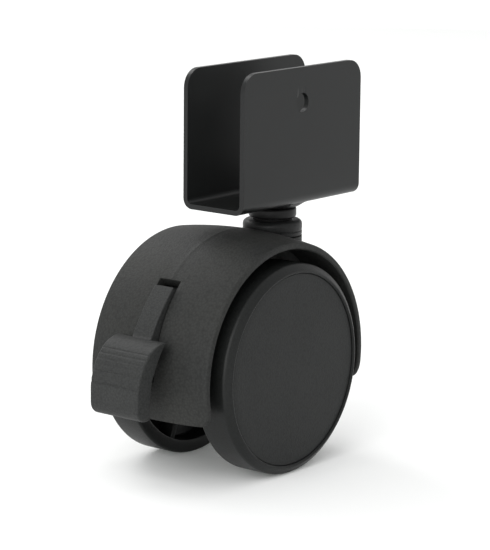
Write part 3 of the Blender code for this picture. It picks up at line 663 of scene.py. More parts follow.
def coated_steel(name, colour, roughness):
    """Smooth black electro-coat on sheet steel: faint orange peel and soft patches."""
    material, shader, coordinates = blank_material(name)
    spot = coordinates.outputs["Object"]
    peel = noise(material, spot, COAT_PEEL_SIZE, 2.0, 0.5, (-600, -200))
    patch = noise(material, spot, COAT_PATCH_SIZE, 5.0, 0.6, (-600, 100))
    dark = [value * 0.90 for value in colour]
    light = [value * 1.12 for value in colour]
    base = ramp_between(material, patch, dark, light, (-300, 100))
    material.node_tree.links.new(base, shader.inputs["Base Color"])
    vary_roughness(material, shader, patch, roughness - 0.05, roughness + 0.07)
    add_relief(material, shader, peel, 0.25, 0.012 * MM)
    shader.inputs["Specular IOR Level"].default_value = 0.25
    return material


def turned_steel(name, colour, roughness, stretch, metallic=1.0, specular=0.5):
    """Turned or drawn steel: fine tool lines one way, with a faint uneven plating."""
    material, shader, coordinates = blank_material(name)
    link = material.node_tree.links.new
    mapping = node(material, "ShaderNodeMapping", (-800, -200), IN_Scale=stretch)
    spot = coordinates.outputs["Object"]
    link(spot, mapping.inputs["Vector"])
    lines = noise(material, mapping.outputs["Vector"], TOOL_LINE_SIZE, 4.0, 0.6, (-600, -200))
    cloud = noise(material, spot, PLATING_CLOUD_SIZE, 4.0, 0.5, (-600, 100))
    dark = [value * 0.82 for value in colour]
    light = [min(1.0, value * 1.15) for value in colour]
    base = ramp_between(material, cloud, dark, light, (-300, 100))
    link(base, shader.inputs["Base Color"])
    vary_roughness(material, shader, lines, roughness - 0.08, roughness + 0.10)
    add_relief(material, shader, lines, 0.35, 0.010 * MM)
    shader.inputs["Metallic"].default_value = metallic
    shader.inputs["Specular IOR Level"].default_value = specular
    return material


def bracket_line(steps):
    """The channel's middle line as (y, z, normal) rows, from one flange's top to the other's."""
    outside = BRACKET_HIGH.y
    flat = outside - SHEET / 2
    top = BRACKET_HIGH.z
    radius = BEND_RADIUS + SHEET / 2
    bend = flat - radius
    centre = -SHEET / 2 + radius
    rows = []
    for share in range(steps + 1):
        angle = math.pi / 2 * share / steps
        fall = FLANGE_CORNER * (1 - math.cos(angle)) * FLANGE_CORNER_SHARE
        rows.append((flat, top - fall, (-1.0, 0.0)))
    for z in spread(top - FLANGE_CORNER, centre, 6)[1:-1]:
        rows.append((flat, z, (-1.0, 0.0)))
    for angle in spread(0.0, math.pi / 2, 8):
        y, z = math.cos(angle), -math.sin(angle)
        rows.append((bend + radius * y, centre + radius * z, (-y, -z)))
    floor = [(y, -SHEET / 2, (0.0, 1.0)) for y in spread(bend, -bend, 28)[1:-1]]
    mirrored = [(-y, z, (-normal[0], normal[1])) for y, z, normal in reversed(rows)]
    return rows + floor + mirrored


def dimple(x, y):
    """How far the channel's floor is pressed down at a place."""
    flat = HEAD_RADIUS + SEAT_GAP + SHEET / 3
    share = (math.hypot(x, y) - flat) / DIMPLE_SLOPE
    share = min(1.0, max(0.0, share))
    return DIMPLE_DEPTH * (1 - share * share * (3 - 2 * share))


class CASTER_OT_bracket(bpy.types.Operator):
    """Builds the channel bracket from pressed sheet steel"""

    bl_idname = "caster.bracket"
    bl_label = "Channel bracket"

    def execute(self, context):
        settings = context.scene.caster_bracket
        half = (BRACKET_HIGH.x - BRACKET_LOW.x) / 2
        top = BRACKET_HIGH.z
        bm = bmesh.new()
        inner, outer = [], []
        for y, z, (across, up) in bracket_line(8):
            below = max(0.0, z - (top - FLANGE_CORNER))
            width = half - FLANGE_CORNER + math.sqrt(max(0.0, FLANGE_CORNER**2 - below**2))
            inner_row, outer_row = [], []
            for x in spread(-width, width, BRACKET_COLUMNS):
                drop = dimple(x, y) if up == 1.0 else 0.0
                middle = Vector((x, y, z - drop))
                normal = Vector((0.0, across, up)) * SHEET / 2
                inner_row.append(bm.verts.new(middle + normal))
                outer_row.append(bm.verts.new(middle - normal))
            inner.append(inner_row)
            outer.append(outer_row)
        for near, far in zip(inner, inner[1:]):
            for index in range(BRACKET_COLUMNS):
                bm.faces.new((near[index], far[index], far[index + 1], near[index + 1]))
        for near, far in zip(outer, outer[1:]):
            for index in range(BRACKET_COLUMNS):
                bm.faces.new((near[index], near[index + 1], far[index + 1], far[index]))
        for row in (0, -1):
            for index in range(BRACKET_COLUMNS):
                pair = (inner[row][index], inner[row][index + 1])
                bm.faces.new((*pair, outer[row][index + 1], outer[row][index]))
        for column in (0, -1):
            for row in range(len(inner) - 1):
                pair = (inner[row][column], inner[row + 1][column])
                bm.faces.new((*pair, outer[row + 1][column], outer[row][column]))
        bracket = new_piece("bracket_channel", bm)

        reach = 2 * BRACKET_HIGH.y
        hole_height = top - SCREW_HOLE_BELOW_TOP

        def place_screw(radius, along, angle):
            x = radius * math.cos(angle) - SCREW_HOLE_FORWARD
            return Vector((x, along, hole_height + radius * math.sin(angle)))

        screw = revolve(bmesh.new(), rod(SCREW_HOLE_RADIUS, -reach, reach), 48, place_screw)
        screw_hole = new_piece("screw_hole_cutter", screw)
        tenon = TENON_RADIUS + SEAT_GAP
        hole = rod(tenon, -4 * DIMPLE_DEPTH, SHEET)
        tenon_hole = new_piece("tenon_hole_cutter", revolve(bmesh.new(), hole, 48, round_swivel))
        add_cut(bracket, screw_hole)
        add_cut(bracket, tenon_hole)
        add_bevel(bracket, settings.edge_round, degrees=55.0)
        apply_modifiers(bracket, (screw_hole, tenon_hole))
        material = coated_steel(
            "black_bracket_coat", settings.coat_colour, settings.coat_roughness
        )
        settle(bracket, material, "bracket", "bracket_coat", "u_bracket")
        return {"FINISHED"}


class CASTER_OT_stem(bpy.types.Operator):
    """Builds the riveted swivel stem"""

    bl_idname = "caster.stem"
    bl_label = "Swivel stem"

    def execute(self, context):
        settings = context.scene.caster_bracket
        flange = STEM_HIGH.x
        flange_top = -SHEET - DIMPLE_DEPTH - SEAT_GAP
        flange_base = flange_top - STEM_FLANGE_HEIGHT
        head_base = -DIMPLE_DEPTH + SEAT_GAP
        collar = STEM_RADIUS + COLLAR_STEP
        collar_base = flange_base - COLLAR_HEIGHT
        groove = STEM_RADIUS - RING_DEPTH
        ring_high, ring_low = RING_HIGH.z + SEAT_GAP, RING_LOW.z - SEAT_GAP
        corners = [
            (0.0, 0.0, 0.0),
            (HEAD_RADIUS, 0.0, SOFT_EDGE),
            (HEAD_RADIUS, head_base, FINE_EDGE),
            (TENON_RADIUS, head_base, 0.0),
            (TENON_RADIUS, flange_top, 0.0),
            (flange, flange_top, STEM_FLANGE_ROUND),
            (flange, flange_base, STEM_FLANGE_ROUND),
            (collar, flange_base, SOFT_EDGE),
            (collar, collar_base + COLLAR_STEP, FINE_EDGE),
            (STEM_RADIUS, collar_base, FINE_EDGE),
            (STEM_RADIUS, ring_high, FINE_EDGE),
            (groove, ring_high, 0.0),
            (groove, ring_low, 0.0),
            (STEM_RADIUS, ring_low, FINE_EDGE),
            (STEM_RADIUS, STEM_LOW.z + STEM_TIP_CHAMFER, SMALL_EDGE),
            (STEM_RADIUS - STEM_TIP_CHAMFER, STEM_LOW.z, SMALL_EDGE),
            (0.0, STEM_LOW.z, 0.0),
        ]
        turned = revolve(bmesh.new(), rounded(corners), 72, round_swivel)
        stem = new_piece("swivel_stem_turned", turned)
        material = turned_steel(
            "blackened_stem_steel",
            settings.stem_colour,
            0.38,
            STEM_TOOL_LINES,
            metallic=0.2,
            specular=0.2,
        )
        settle(stem, material, "bracket", "stem_steel", "swivel_stem")
        return {"FINISHED"}


def hood_columns(half, seam):
    """Outer and inner rows of (radius, y) across the hood, in step with each other."""
    flat = half - HOOD_RIM_ROUND
    reach = flat - SLOT_HALF_WIDTH
    outer_y = [-SLOT_HALF_WIDTH - reach * share for share in spread(1.0, 0.0, 12)]
    middle_y = [-SEAM_SHOULDER, -SEAM_HALF_WIDTH, 0.0, SEAM_HALF_WIDTH, SEAM_SHOULDER]
    across = outer_y + middle_y + [-y for y in reversed(outer_y)]
    outer = []
    for y in across:
        radius = HOOD_RADIUS - HOOD_BARREL * (y / HOOD_HALF_WIDTH) ** 2
        outer.append((radius + (seam if y == 0.0 else 0.0), y))
    inner = [(HOOD_INNER_RADIUS, y) for y in across]
    rim_radius = outer[-1][0] - HOOD_RIM_ROUND
    fillet = []
    for angle in spread(0.0, math.pi / 2, 5)[1:]:
        radius = rim_radius + HOOD_RIM_ROUND * math.cos(angle)
        fillet.append((radius, flat + HOOD_RIM_ROUND * math.sin(angle)))
    fillet.append((HOOD_INNER_RADIUS + BROAD_EDGE, half))
    fillet.append((HOOD_INNER_RADIUS, half - BROAD_EDGE))
    return outer, inner, fillet


def hood_rows():
    """Angles of the hood's rows, close together at the ends and exact at the slot's ends."""
    first, last = HOOD_END_ANGLE, 180.0 - HOOD_REAR_END_ANGLE
    rise = math.degrees(HOOD_CORNER_RISE / HOOD_RADIUS)
    rows = [first + rise * share**2 for share in spread(0.0, 1.0, 8)]
    rows += spread(rows[-1], SLOT_END_ANGLE, 5)[1:]
    rows += spread(SLOT_END_ANGLE, SLOT_TOP_ANGLE, 24)[1:]
    rows += spread(SLOT_TOP_ANGLE, last - rise, 76)[1:]
    rows += [last - rise * share**2 for share in spread(1.0, 0.0, 8)][1:]
    return rows, rise


def make_hood(settings):
    """The hood's shell with its lever slot, as rows of closed loops."""
    rows, rise = hood_rows()
    first, last = rows[0], rows[-1]
    bm = bmesh.new()
    outers, inners, left_rims, right_rims = [], [], [], []
    for degrees in rows:
        along = min(1.0, (degrees - first) / rise, (last - degrees) / rise)
        narrowing = HOOD_CORNER_INSET * (1 - math.sqrt(max(0.0, 1 - (1 - along) ** 2)))
        half = HOOD_HALF_WIDTH - narrowing
        outer, inner, fillet = hood_columns(half, settings.seam_height)

        def put(radius, y):
            x, z = front_polar(radius, degrees)
            return bm.verts.new(from_axle(x, y, z))

        outers.append([put(*point) for point in outer])
        inners.append([put(*point) for point in inner])
        right_rims.append([put(*point) for point in fillet])
        left_rims.append([put(radius, -y) for radius, y in fillet])
    count = len(outers[0])
    slot_from = next(i for i, vert in enumerate(outers[0]) if vert.co.y > -SLOT_HALF_WIDTH - 1e-7)
    slot_to = count - 1 - slot_from
    for row in range(len(rows) - 1):
        in_slot = SLOT_END_ANGLE - 1e-6 <= rows[row] and rows[row + 1] <= SLOT_TOP_ANGLE + 1e-6
        for strip, flip in ((outers, False), (inners, True)):
            for index in range(count - 1):
                if in_slot and slot_from <= index < slot_to:
                    continue
                quad = [strip[row][index], strip[row][index + 1]]
                quad += [strip[row + 1][index + 1], strip[row + 1][index]]
                bm.faces.new(quad[::-1] if flip else quad)
        for edge, rims in ((count - 1, right_rims), (0, left_rims)):
            near = [outers[row][edge], *rims[row], inners[row][edge]]
            far = [outers[row + 1][edge], *rims[row + 1], inners[row + 1][edge]]
            for index in range(len(near) - 1):
                bm.faces.new((near[index], near[index + 1], far[index + 1], far[index]))
        if in_slot:
            for edge in (slot_from, slot_to):
                quad = [outers[row][edge], outers[row + 1][edge]]
                bm.faces.new(quad + [inners[row + 1][edge], inners[row][edge]])
    for row, degrees in enumerate(rows):
        if min(abs(degrees - SLOT_END_ANGLE), abs(degrees - SLOT_TOP_ANGLE)) < 1e-6:
            for index in range(slot_from, slot_to):
                quad = [outers[row][index], outers[row][index + 1]]
                bm.faces.new(quad + [inners[row][index + 1], inners[row][index]])
    for row in (0, -1):
        loop = outers[row] + right_rims[row] + inners[row][::-1] + left_rims[row][::-1]
        bm.faces.new(loop)
    return bm


class CASTER_OT_housing(bpy.types.Operator):
    """Builds the hood with its stem socket, axle boss and the two cheeks inside it"""

    bl_idname = "caster.housing"
    bl_label = "Hood"

    def execute(self, context):
        settings = context.scene.caster_hood
        hood = new_piece("hood_outer", make_hood(settings))
        add_bevel(hood, settings.edge_round, degrees=60.0)
        socket_top = BUSH_HIGH.z - BUSH_FLANGE_HEIGHT - SEAT_GAP
        room = SOCKET_RADIUS + SEAT_GAP
        high = socket_top + 2 * HOOD_WALL
        headroom = revolve(bmesh.new(), rod(room, socket_top, high), 96, round_swivel)
        headroom = new_piece("headroom_cutter", headroom)
        bore = BUSH_WALL + STEM_RADIUS + RUN_GAP + SEAT_GAP
        low = DISC_LOW.z - SEAT_GAP
        bore_cutter = revolve(bmesh.new(), rod(bore, low, high), 64, round_swivel)
        bore_cutter = new_piece("bore_cutter", bore_cutter)
        add_cut(hood, headroom)
        add_cut(hood, bore_cutter)
        apply_modifiers(hood, (headroom, bore_cutter), sharp_degrees=42.0)

        disc = STEM_RADIUS + SEAT_GAP
        ledge = RING_LOW.z - SEAT_GAP
        base = low - 1.8 * MM
        edge = 0.4 * MM
        corners = [
            (0.0, low, 0.0),
            (disc, low, 0.0),
            (disc, ledge, 0.0),
            (bore, ledge, 0.0),
            (bore, socket_top, 0.0),
            (SOCKET_RADIUS, socket_top, 0.0),
            (SOCKET_RADIUS, base, edge),
            (0.0, base, 0.0),
        ]
        socket = new_piece("socket", revolve(bmesh.new(), rounded(corners), 72, round_swivel))
        boss_end = CHEEK_INSIDE + CHEEK_WALL - 0.1 * MM + SEAT_GAP
        axle_hole = AXLE_HIGH.z - AXLE.z + SEAT_GAP
        corners = [
            (axle_hole, -boss_end, FINE_EDGE),
            (AXLE_BOSS_RADIUS, -boss_end, edge),
            (AXLE_BOSS_RADIUS, boss_end, edge),
            (axle_hole, boss_end, FINE_EDGE),
        ]
        boss = new_piece("axle_boss", revolve(bmesh.new(), rounded(corners), 64, round_axle()))
        pivot_x, pivot_z = BRAKE_PIN.x - AXLE.x, BRAKE_PIN.z - AXLE.z
        rim = HOOD_INNER_RADIUS + HOOD_WALL / 2
        sector = spread(CHEEK_FRONT_ANGLE, CHEEK_REAR_ANGLE, 64)
        outline = [(0.0, -2.0 * MM)] + [tuple(front_polar(rim, angle)) for angle in sector]
        parts = [hood, socket, boss]
        for side in (1, -1):
            low_y, high_y = sorted((side * CHEEK_INSIDE, side * (CHEEK_INSIDE + CHEEK_WALL)))
            plate = slab(bmesh.new(), outline, low_y, high_y, SOFT_EDGE, from_axle)
            cheek = new_piece("cheek", plate)
            holes = []
            for radius, x, z in ((axle_hole, 0.0, 0.0), (PIN_RADIUS + SEAT_GAP, pivot_x, pivot_z)):
                reach = 2 * high_y if side > 0 else -2 * low_y
                place = round_axle(x=x, z=z)
                drill = revolve(bmesh.new(), rod(radius, -reach, reach), 40, place)
                holes.append(new_piece("cheek_hole", drill))
            for hole in holes:
                add_cut(cheek, hole)
            apply_modifiers(cheek, holes)
            parts.append(cheek)
        housing = joined("hood_and_cheeks", parts)
        material = moulded_nylon(
            "black_hood_nylon",
            settings.nylon_colour,
            settings.grain_size,
            0.60,
            mottling=0.10,
            tint=(1.02, 1.0, 0.96),
        )
        settle(housing, material, "hood_assembly", "housing_nylon", "housing")
        return {"FINISHED"}


class CASTER_OT_bush(bpy.types.Operator):
    """Builds the flanged bush that the stem turns in"""

    bl_idname = "caster.bush"
    bl_label = "Stem bush"

    def execute(self, context):
        bore = STEM_RADIUS + RUN_GAP
        outside = bore + BUSH_WALL
        well = STEM_RADIUS + COLLAR_STEP + SEAT_GAP
        flange_base = BUSH_HIGH.z - BUSH_FLANGE_HEIGHT
        stem_flange_base = -SHEET - DIMPLE_DEPTH - SEAT_GAP - STEM_FLANGE_HEIGHT
        well_base = stem_flange_base - COLLAR_HEIGHT - SEAT_GAP
        groove = SOCKET_RADIUS - BUSH_GROOVE_DEPTH
        corners = [
            (bore, BUSH_LOW.z, 0.15 * MM),
            (outside, BUSH_LOW.z, BROAD_EDGE),
            (outside, flange_base, 0.0),
            (SOCKET_RADIUS, flange_base, SMALL_EDGE),
            (SOCKET_RADIUS, flange_base + 0.9 * MM, 0.15 * MM),
            (groove, flange_base + 1.0 * MM, 0.05 * MM),
            (groove, flange_base + 1.2 * MM, 0.05 * MM),
            (SOCKET_RADIUS, flange_base + 1.3 * MM, 0.15 * MM),
            (SOCKET_RADIUS, BUSH_HIGH.z, BUSH_FLANGE_ROUND),
            (well, BUSH_HIGH.z, SMALL_EDGE),
            (well, well_base, 0.0),
            (bore, well_base, FINE_EDGE),
        ]
        turned = revolve(bmesh.new(), rounded(corners, 6), 96, round_swivel)
        bush = new_piece("stem_bush_flanged", turned)
        colour = (0.011, 0.0115, 0.0115)
        material = moulded_nylon("grey_bush_acetal", colour, 0.25 * MM, 0.42, relief=0.5)
        settle(bush, material, "hood_assembly", "bush_acetal", "stem_bush")
        return {"FINISHED"}


def wheel_corners(settings):
    """The wheel's section as (radius, along, rounding) corners, from the bore outwards."""
    hub_radius = HUB_HIGH.z - AXLE.z + SEAT_GAP + HUB_WALL
    bore = HUB_HIGH.z - AXLE.z + SEAT_GAP
    rim_inside = WHEEL_RADIUS - RIM_WALL
    lip = WHEEL_RADIUS - CAP_LIP
    web_out = CAP_HIGH.y - CAP_THICKNESS - SEAT_GAP
    web_in = web_out - CAP_SKIRT_LENGTH - SEAT_GAP - WHEEL_WEB / 2
    skirt_out = lip - SEAT_GAP - CAP_SKIRT_INSET + SEAT_GAP
    skirt_in = skirt_out - CAP_SKIRT_WALL - 2 * SEAT_GAP
    groove_base = web_out - CAP_SKIRT_LENGTH - SEAT_GAP
    well = bore + 1.1 * MM
    bead = lip + settings.bead_width
    return [
        (bore, HUB_LOW.y, FINE_EDGE),
        (hub_radius, HUB_LOW.y, BROAD_EDGE),
        (hub_radius, web_in, 0.5 * MM),
        (rim_inside, web_in, 0.8 * MM),
        (rim_inside, WHEEL_INBOARD, 0.4 * MM),
        (WHEEL_RADIUS, WHEEL_INBOARD, 0.7 * MM),
        (WHEEL_RADIUS, WHEEL_OUTBOARD - 1.25 * MM, 1.1 * MM),
        (bead + 0.35 * MM, WHEEL_OUTBOARD - 0.22 * MM, 0.5 * MM),
        (bead, WHEEL_OUTBOARD, SOFT_EDGE),
        (lip + BROAD_EDGE, WHEEL_OUTBOARD, SMALL_EDGE),
        (lip, WHEEL_OUTBOARD - BROAD_EDGE, 0.05 * MM),
        (lip, web_out, 0.0),
        (skirt_out, web_out, 0.0),
        (skirt_out, groove_base, 0.0),
        (skirt_in, groove_base, 0.0),
        (skirt_in, web_out, 0.0),
        (well, web_out, SMALL_EDGE),
        (well, HUB_HIGH.y, SMALL_EDGE),
        (bore, HUB_HIGH.y, FINE_EDGE),
    ]


def tooth_outline(inner):
    """The toothed ring's outer points, and the points of its bore in step with them."""
    pitch = 360.0 / TOOTH_COUNT
    outer = []
    for index in range(TOOTH_COUNT):
        middle = 180.0 + (index + 0.5) * pitch
        root, tip = TOOTH_ROOT_SHARE * pitch / 2, TOOTH_TIP_SHARE * pitch / 2
        places = ((TOOTH_ROOT_RADIUS, -root), (TOOTH_TIP_RADIUS, -tip), (TOOTH_TIP_RADIUS, tip))
        for radius, offset in places + ((TOOTH_ROOT_RADIUS, root),):
            angle = math.radians(middle + offset)
            outer.append((radius * math.cos(angle), radius * math.sin(angle)))
    bore = [(x * inner / math.hypot(x, z), z * inner / math.hypot(x, z)) for x, z in outer]
    return outer, bore


def add_tooth_ring(bm, side, inner):
    """The toothed ring that the brake lever locks, beside the hub."""
    outer, bore = tooth_outline(inner)
    low, high = side * TOOTH_RING_INBOARD, side * (TOOTH_RING_INBOARD + TOOTH_RING_WIDTH)
    chamfer = side * 0.2 * MM
    narrow = inset(outer, SMALL_EDGE)
    loops = []
    rows = ((bore, low), (narrow, low), (outer, low + chamfer), (outer, high - chamfer))
    for points, y in rows + ((narrow, high), (bore, high)):
        loops.append([bm.verts.new(from_axle(x, y, z)) for x, z in points])
    add_bands(bm, loops + loops[:1])


def add_ribs(bm, side, start, end, low, high):
    """The ribs between hub and rim on the wheel's inboard side."""
    half = RIB_THICKNESS / 2
    edge = 0.3 * MM
    outline = rounded([(start, low, edge), (end, low, edge), (end, high, 0.0), (start, high, 0.0)])
    for index in range(RIB_COUNT):
        turn = (index + 0.5) * math.tau / RIB_COUNT
        along = Vector((math.cos(turn), 0.0, math.sin(turn)))
        across = Vector((-math.sin(turn), 0.0, math.cos(turn)))

        def place(first, offset, second):
            return AXLE + along * first + across * offset + Vector((0.0, side * second, 0.0))

        slab(bm, outline, -half, half, 0.2 * MM, place)


class CASTER_OT_wheels(bpy.types.Operator):
    """Builds both wheels with their ribs and toothed rings, and their face caps"""

    bl_idname = "caster.wheels"
    bl_label = "Wheels and caps"

    def execute(self, context):
        settings = context.scene.caster_wheels
        tread = moulded_nylon(
            "satin_wheel_nylon", settings.tread_colour, 0.22 * MM, 0.40, mottling=0.05, relief=0.45
        )
        face = moulded_nylon(
            "satin_cap_nylon", settings.cap_colour, 0.25 * MM, 0.50, mottling=0.04, relief=0.5
        )
        corners = wheel_corners(settings)
        hub_radius, web_in = corners[2][0], corners[2][1]
        cap_radius = CAP_HIGH.z - AXLE.z + CAP_OVERSIZE
        cap_face = CAP_HIGH.y
        cap_back = cap_face - CAP_THICKNESS
        skirt = cap_radius - CAP_OVERSIZE - CAP_SKIRT_INSET
        for side, name in ((1, "left"), (-1, "right")):
            place = round_axle(side)
            bm = revolve(bmesh.new(), rounded(corners, 5), 144, place)
            wall = hub_radius - HUB_WALL / 2
            add_tooth_ring(bm, side, wall)
            ribs_low = max(TOOTH_RING_INBOARD + TOOTH_RING_WIDTH, WHEEL_INBOARD) + SEAT_GAP
            rim = WHEEL_RADIUS - RIM_WALL / 2
            add_ribs(bm, side, wall, rim, ribs_low, web_in + WHEEL_WEB / 4)
            wheel = new_piece(f"wheel_{name}_moulded", bm)
            settle(wheel, tread, f"{name}_wheel", "wheel_nylon", f"wheel_{name}")

            crown = settings.cap_crown
            profile = []
            for share in (0.0, 0.2, 0.4, 0.6, 0.8, 0.9):
                profile.append((cap_radius * share, cap_face + crown * (1 - share**2) - crown))
            outline = [(0.0, cap_back, 0.0), (skirt - CAP_SKIRT_WALL, cap_back, 0.0)]
            outline += [(skirt - CAP_SKIRT_WALL, cap_back - CAP_SKIRT_LENGTH, SMALL_EDGE)]
            outline += [(skirt, cap_back - CAP_SKIRT_LENGTH, SMALL_EDGE), (skirt, cap_back, 0.0)]
            brim = profile[-1][1] - 0.02 * MM
            outline += [(cap_radius, cap_back, FINE_EDGE), (cap_radius, brim, 0.12 * MM)]
            outline += [(radius, along, 0.0) for radius, along in reversed(profile)]
            cap = new_piece(
                f"wheel_cap_{name}_moulded", revolve(bmesh.new(), rounded(outline, 5), 144, place)
            )
            settle(cap, face, f"{name}_wheel", "cap_nylon", f"wheel_cap_{name}")
        return {"FINISHED"}


def pedal_line(settings):
    """The pedal's side outline, with a groove offset and a rounding share for each point."""
    root = front_polar(HOOD_RADIUS + NECK_RISE, NECK_END_ANGLE)
    front = -HOOD_RADIUS - PEDAL_REACH
    base = root[1] - PEDAL_LENGTH
    back = front + PEDAL_THICKNESS
    curve = []
    for angle in spread(0.0, math.pi / 2, 160):
        x = root[0] + (front - root[0]) * math.sin(angle) ** PEDAL_REACH_POWER
        fall = PEDAL_TOP_DROP * (1 - max(0.0, math.cos(angle)) ** PEDAL_DROP_POWER)
        curve.append(Vector((x, base + PEDAL_LENGTH * (1 - fall))))
    lengths = [0.0]
    for near, far in zip(curve, curve[1:]):
        lengths.append(lengths[-1] + (far - near).length)
    grooves = []
    for index in range(settings.groove_count):
        depth = settings.groove_depth * (1.0 if index in DEEP_GROOVES else SHALLOW_SHARE)
        grooves.append((lengths[-1] - GROOVE_MARGIN - GROOVE_PITCH * index, depth))
    outer, relief = [], []
    for index, (point, along) in enumerate(zip(curve, lengths)):
        before = curve[max(0, index - 1)]
        after = curve[min(len(curve) - 1, index + 1)]
        normal = (after - before).normalized().orthogonal()
        if normal.x < 0.0:
            normal = -normal
        sink = 0.0
        for centre, depth in grooves:
            reach = abs(along - centre) / GROOVE_HALF_WIDTH
            if reach < 1.0:
                sink = max(sink, depth * 0.5 * (1 + math.cos(math.pi * reach)))
        outer.append(tuple(point))
        relief.append(tuple(normal * sink))
    outer += [
        (front + PEDAL_ROUND * (1 - math.cos(angle)), base + PEDAL_ROUND * (1 - math.sin(angle)))
        for angle in spread(0.0, math.pi / 2, 10)
    ]
    lower = [(back - 0.5 * MM, base), (back, base + 0.5 * MM)]
    lower += [(back, base + PEDAL_BACK[0][1] * PEDAL_LENGTH)]
    inner = [(back + shift, base + share * PEDAL_LENGTH) for shift, share in PEDAL_BACK[1:]]
    outline = outer + lower + inner
    relief += [(0.0, 0.0)] * (len(outline) - len(relief))
    shares = [min(1.0, (Vector(point) - root).length / THIN_REACH) for point in outline]
    return outline, relief, shares


class CASTER_OT_lever(bpy.types.Operator):
    """Builds the brake lever: pedal, neck, pivot boss, tongue and locking lug"""

    bl_idname = "caster.lever"
    bl_label = "Brake lever"

    def execute(self, context):
        settings = context.scene.caster_lever
        half = LEVER_WIDTH / 2
        pivot = Vector((BRAKE_PIN.x - AXLE.x, BRAKE_PIN.z - AXLE.z))
        neck = []
        for share in spread(0.0, 1.0, 16):
            angle = NECK_TOP_ANGLE + (NECK_END_ANGLE - NECK_TOP_ANGLE) * share
            rise = NECK_TOP_RISE + (NECK_RISE - NECK_TOP_RISE) * share**NECK_RISE_POWER
            neck.append(tuple(front_polar(HOOD_RADIUS + rise, angle)))
        inner_fin = HOOD_RADIUS + PEDAL_REACH - PEDAL_THICKNESS / 2
        boss_radius = PIN_RADIUS + RUN_GAP + PIVOT_BOSS_WALL
        side_angle, top_angle = BOSS_BLEND_ANGLES
        root = (
            front_polar(inner_fin, NECK_ROOT_ANGLE + NECK_ROOT_SPAN),
            front_polar(inner_fin, NECK_ROOT_ANGLE),
            front_polar(HOOD_INNER_RADIUS - HOOD_WALL, NECK_ROOT_ANGLE + NECK_TAPER_ANGLE),
            pivot + front_polar(BOSS_BLEND * boss_radius, side_angle),
            pivot,
            pivot + front_polar(BOSS_BLEND * boss_radius, top_angle),
        )
        neck += [tuple(point) for point in root]

        def back_turned(point):
            turn = Matrix.Rotation(math.radians(-BRAKE_TRAVEL), 2)
            return pivot + turn @ (Vector(point) - pivot)

        tip = TOOTH_ROOT_RADIUS + 2 * SEAT_GAP
        flank = TOOTH_TIP_RADIUS + SEAT_GAP
        half_gap = math.radians((1 - TOOTH_TIP_SHARE) * 180.0 / TOOTH_COUNT)
        gap = half_gap * TOOTH_TIP_RADIUS - SEAT_GAP
        back = tip + LUG_LENGTH
        lug = [(-tip, LUG_TIP_WIDTH / 2), (-flank, gap), (-flank - TOOTH_HEIGHT, TONGUE_WIDTH / 2)]
        lug.append((-back, TONGUE_WIDTH / 2))
        lug += [(x, -z) for x, z in reversed(lug)]
        lug = [tuple(back_turned(point)) for point in lug]
        lug_half = TOOTH_RING_INBOARD + TOOTH_RING_WIDTH - 0.2 * MM
        foot = back_turned((-back + TONGUE_WIDTH / 2, 0.0))
        across = (foot - pivot).orthogonal().normalized() * TONGUE_WIDTH / 2
        corners = (pivot + across, foot + across, foot - across, pivot - across)
        tongue = [tuple(corner) for corner in corners]

        edge = settings.edge_round
        outline, relief, shares = pedal_line(settings)
        reach = PEDAL_WIDTH / 2
        body = slab(bmesh.new(), outline, -reach, reach, edge, from_axle, 5, relief, shares)
        fin = new_piece("pedal", body)
        inside = 0.15 * MM
        plate = slab(bmesh.new(), neck, -half, half, 0.22 * MM, from_axle)
        slab(plate, tongue, inside - half, half - inside, 0.2 * MM, from_axle)
        slab(plate, lug, -lug_half, lug_half, 0.25 * MM, from_axle)
        ring = [(PIN_RADIUS + RUN_GAP, -half, FINE_EDGE), (boss_radius, -half, SMALL_EDGE)]
        ring += [(boss_radius, half, SMALL_EDGE), (PIN_RADIUS + RUN_GAP, half, FINE_EDGE)]

        revolve(plate, rounded(ring), 40, round_axle(x=pivot.x, z=pivot.y))
        arm = new_piece("arm", plate)
        lever = even_normals(joined("brake_lever_moulded", [fin, arm]))
        material = moulded_nylon(
            "black_lever_nylon", settings.lever_colour, 0.28 * MM, 0.56, mottling=0.07, relief=0.7
        )
        settle(lever, material, "lever", "lever_nylon", "brake_lever")
        return {"FINISHED"}


class CASTER_OT_hardware(bpy.types.Operator):
    """Gives the small metal and acetal pieces inside their finishes"""

    bl_idname = "caster.hardware"
    bl_label = "Inner hardware"

    def execute(self, context):
        zinc = turned_steel("bright_zinc_steel", (0.58, 0.59, 0.60), 0.30, (1.0, 6.0, 1.0))
        spring = turned_steel("drawn_spring_steel", (0.46, 0.46, 0.47), 0.26, (8.0, 1.0, 1.0))
        grey = (0.075, 0.076, 0.075)
        acetal = moulded_nylon("dark_grey_acetal", grey, 0.3 * MM, 0.45, relief=0.5)
        finishes = {
            "stem_snap_ring": spring,
            "thrust_disc": zinc,
            "axle": zinc,
            "axle_clip_left": spring,
            "axle_clip_right": spring,
            "brake_pin": zinc,
            "brake_leaf_spring": spring,
            "hub_washer_left": acetal,
            "hub_washer_right": acetal,
            "hub_bush_left": acetal,
            "hub_bush_right": acetal,
        }
        for name, material in finishes.items():
            mesh = frame["nodes"][name].data
            mesh.materials.clear()
            mesh.materials.append(material)
        return {"FINISHED"}


def area_light(name, place, aim, size, power):
    """A soft square light at a place, turned to an aim."""
    light = bpy.data.lights.new(name, "AREA")
    light.shape = "RECTANGLE"
    light.size = light.size_y = size
    light.energy = power
    obj = bpy.data.objects.new(name, light)
    obj.location = place
    obj.rotation_euler = (aim - place).to_track_quat("-Z", "Y").to_euler()
    bpy.context.scene.collection.objects.link(obj)


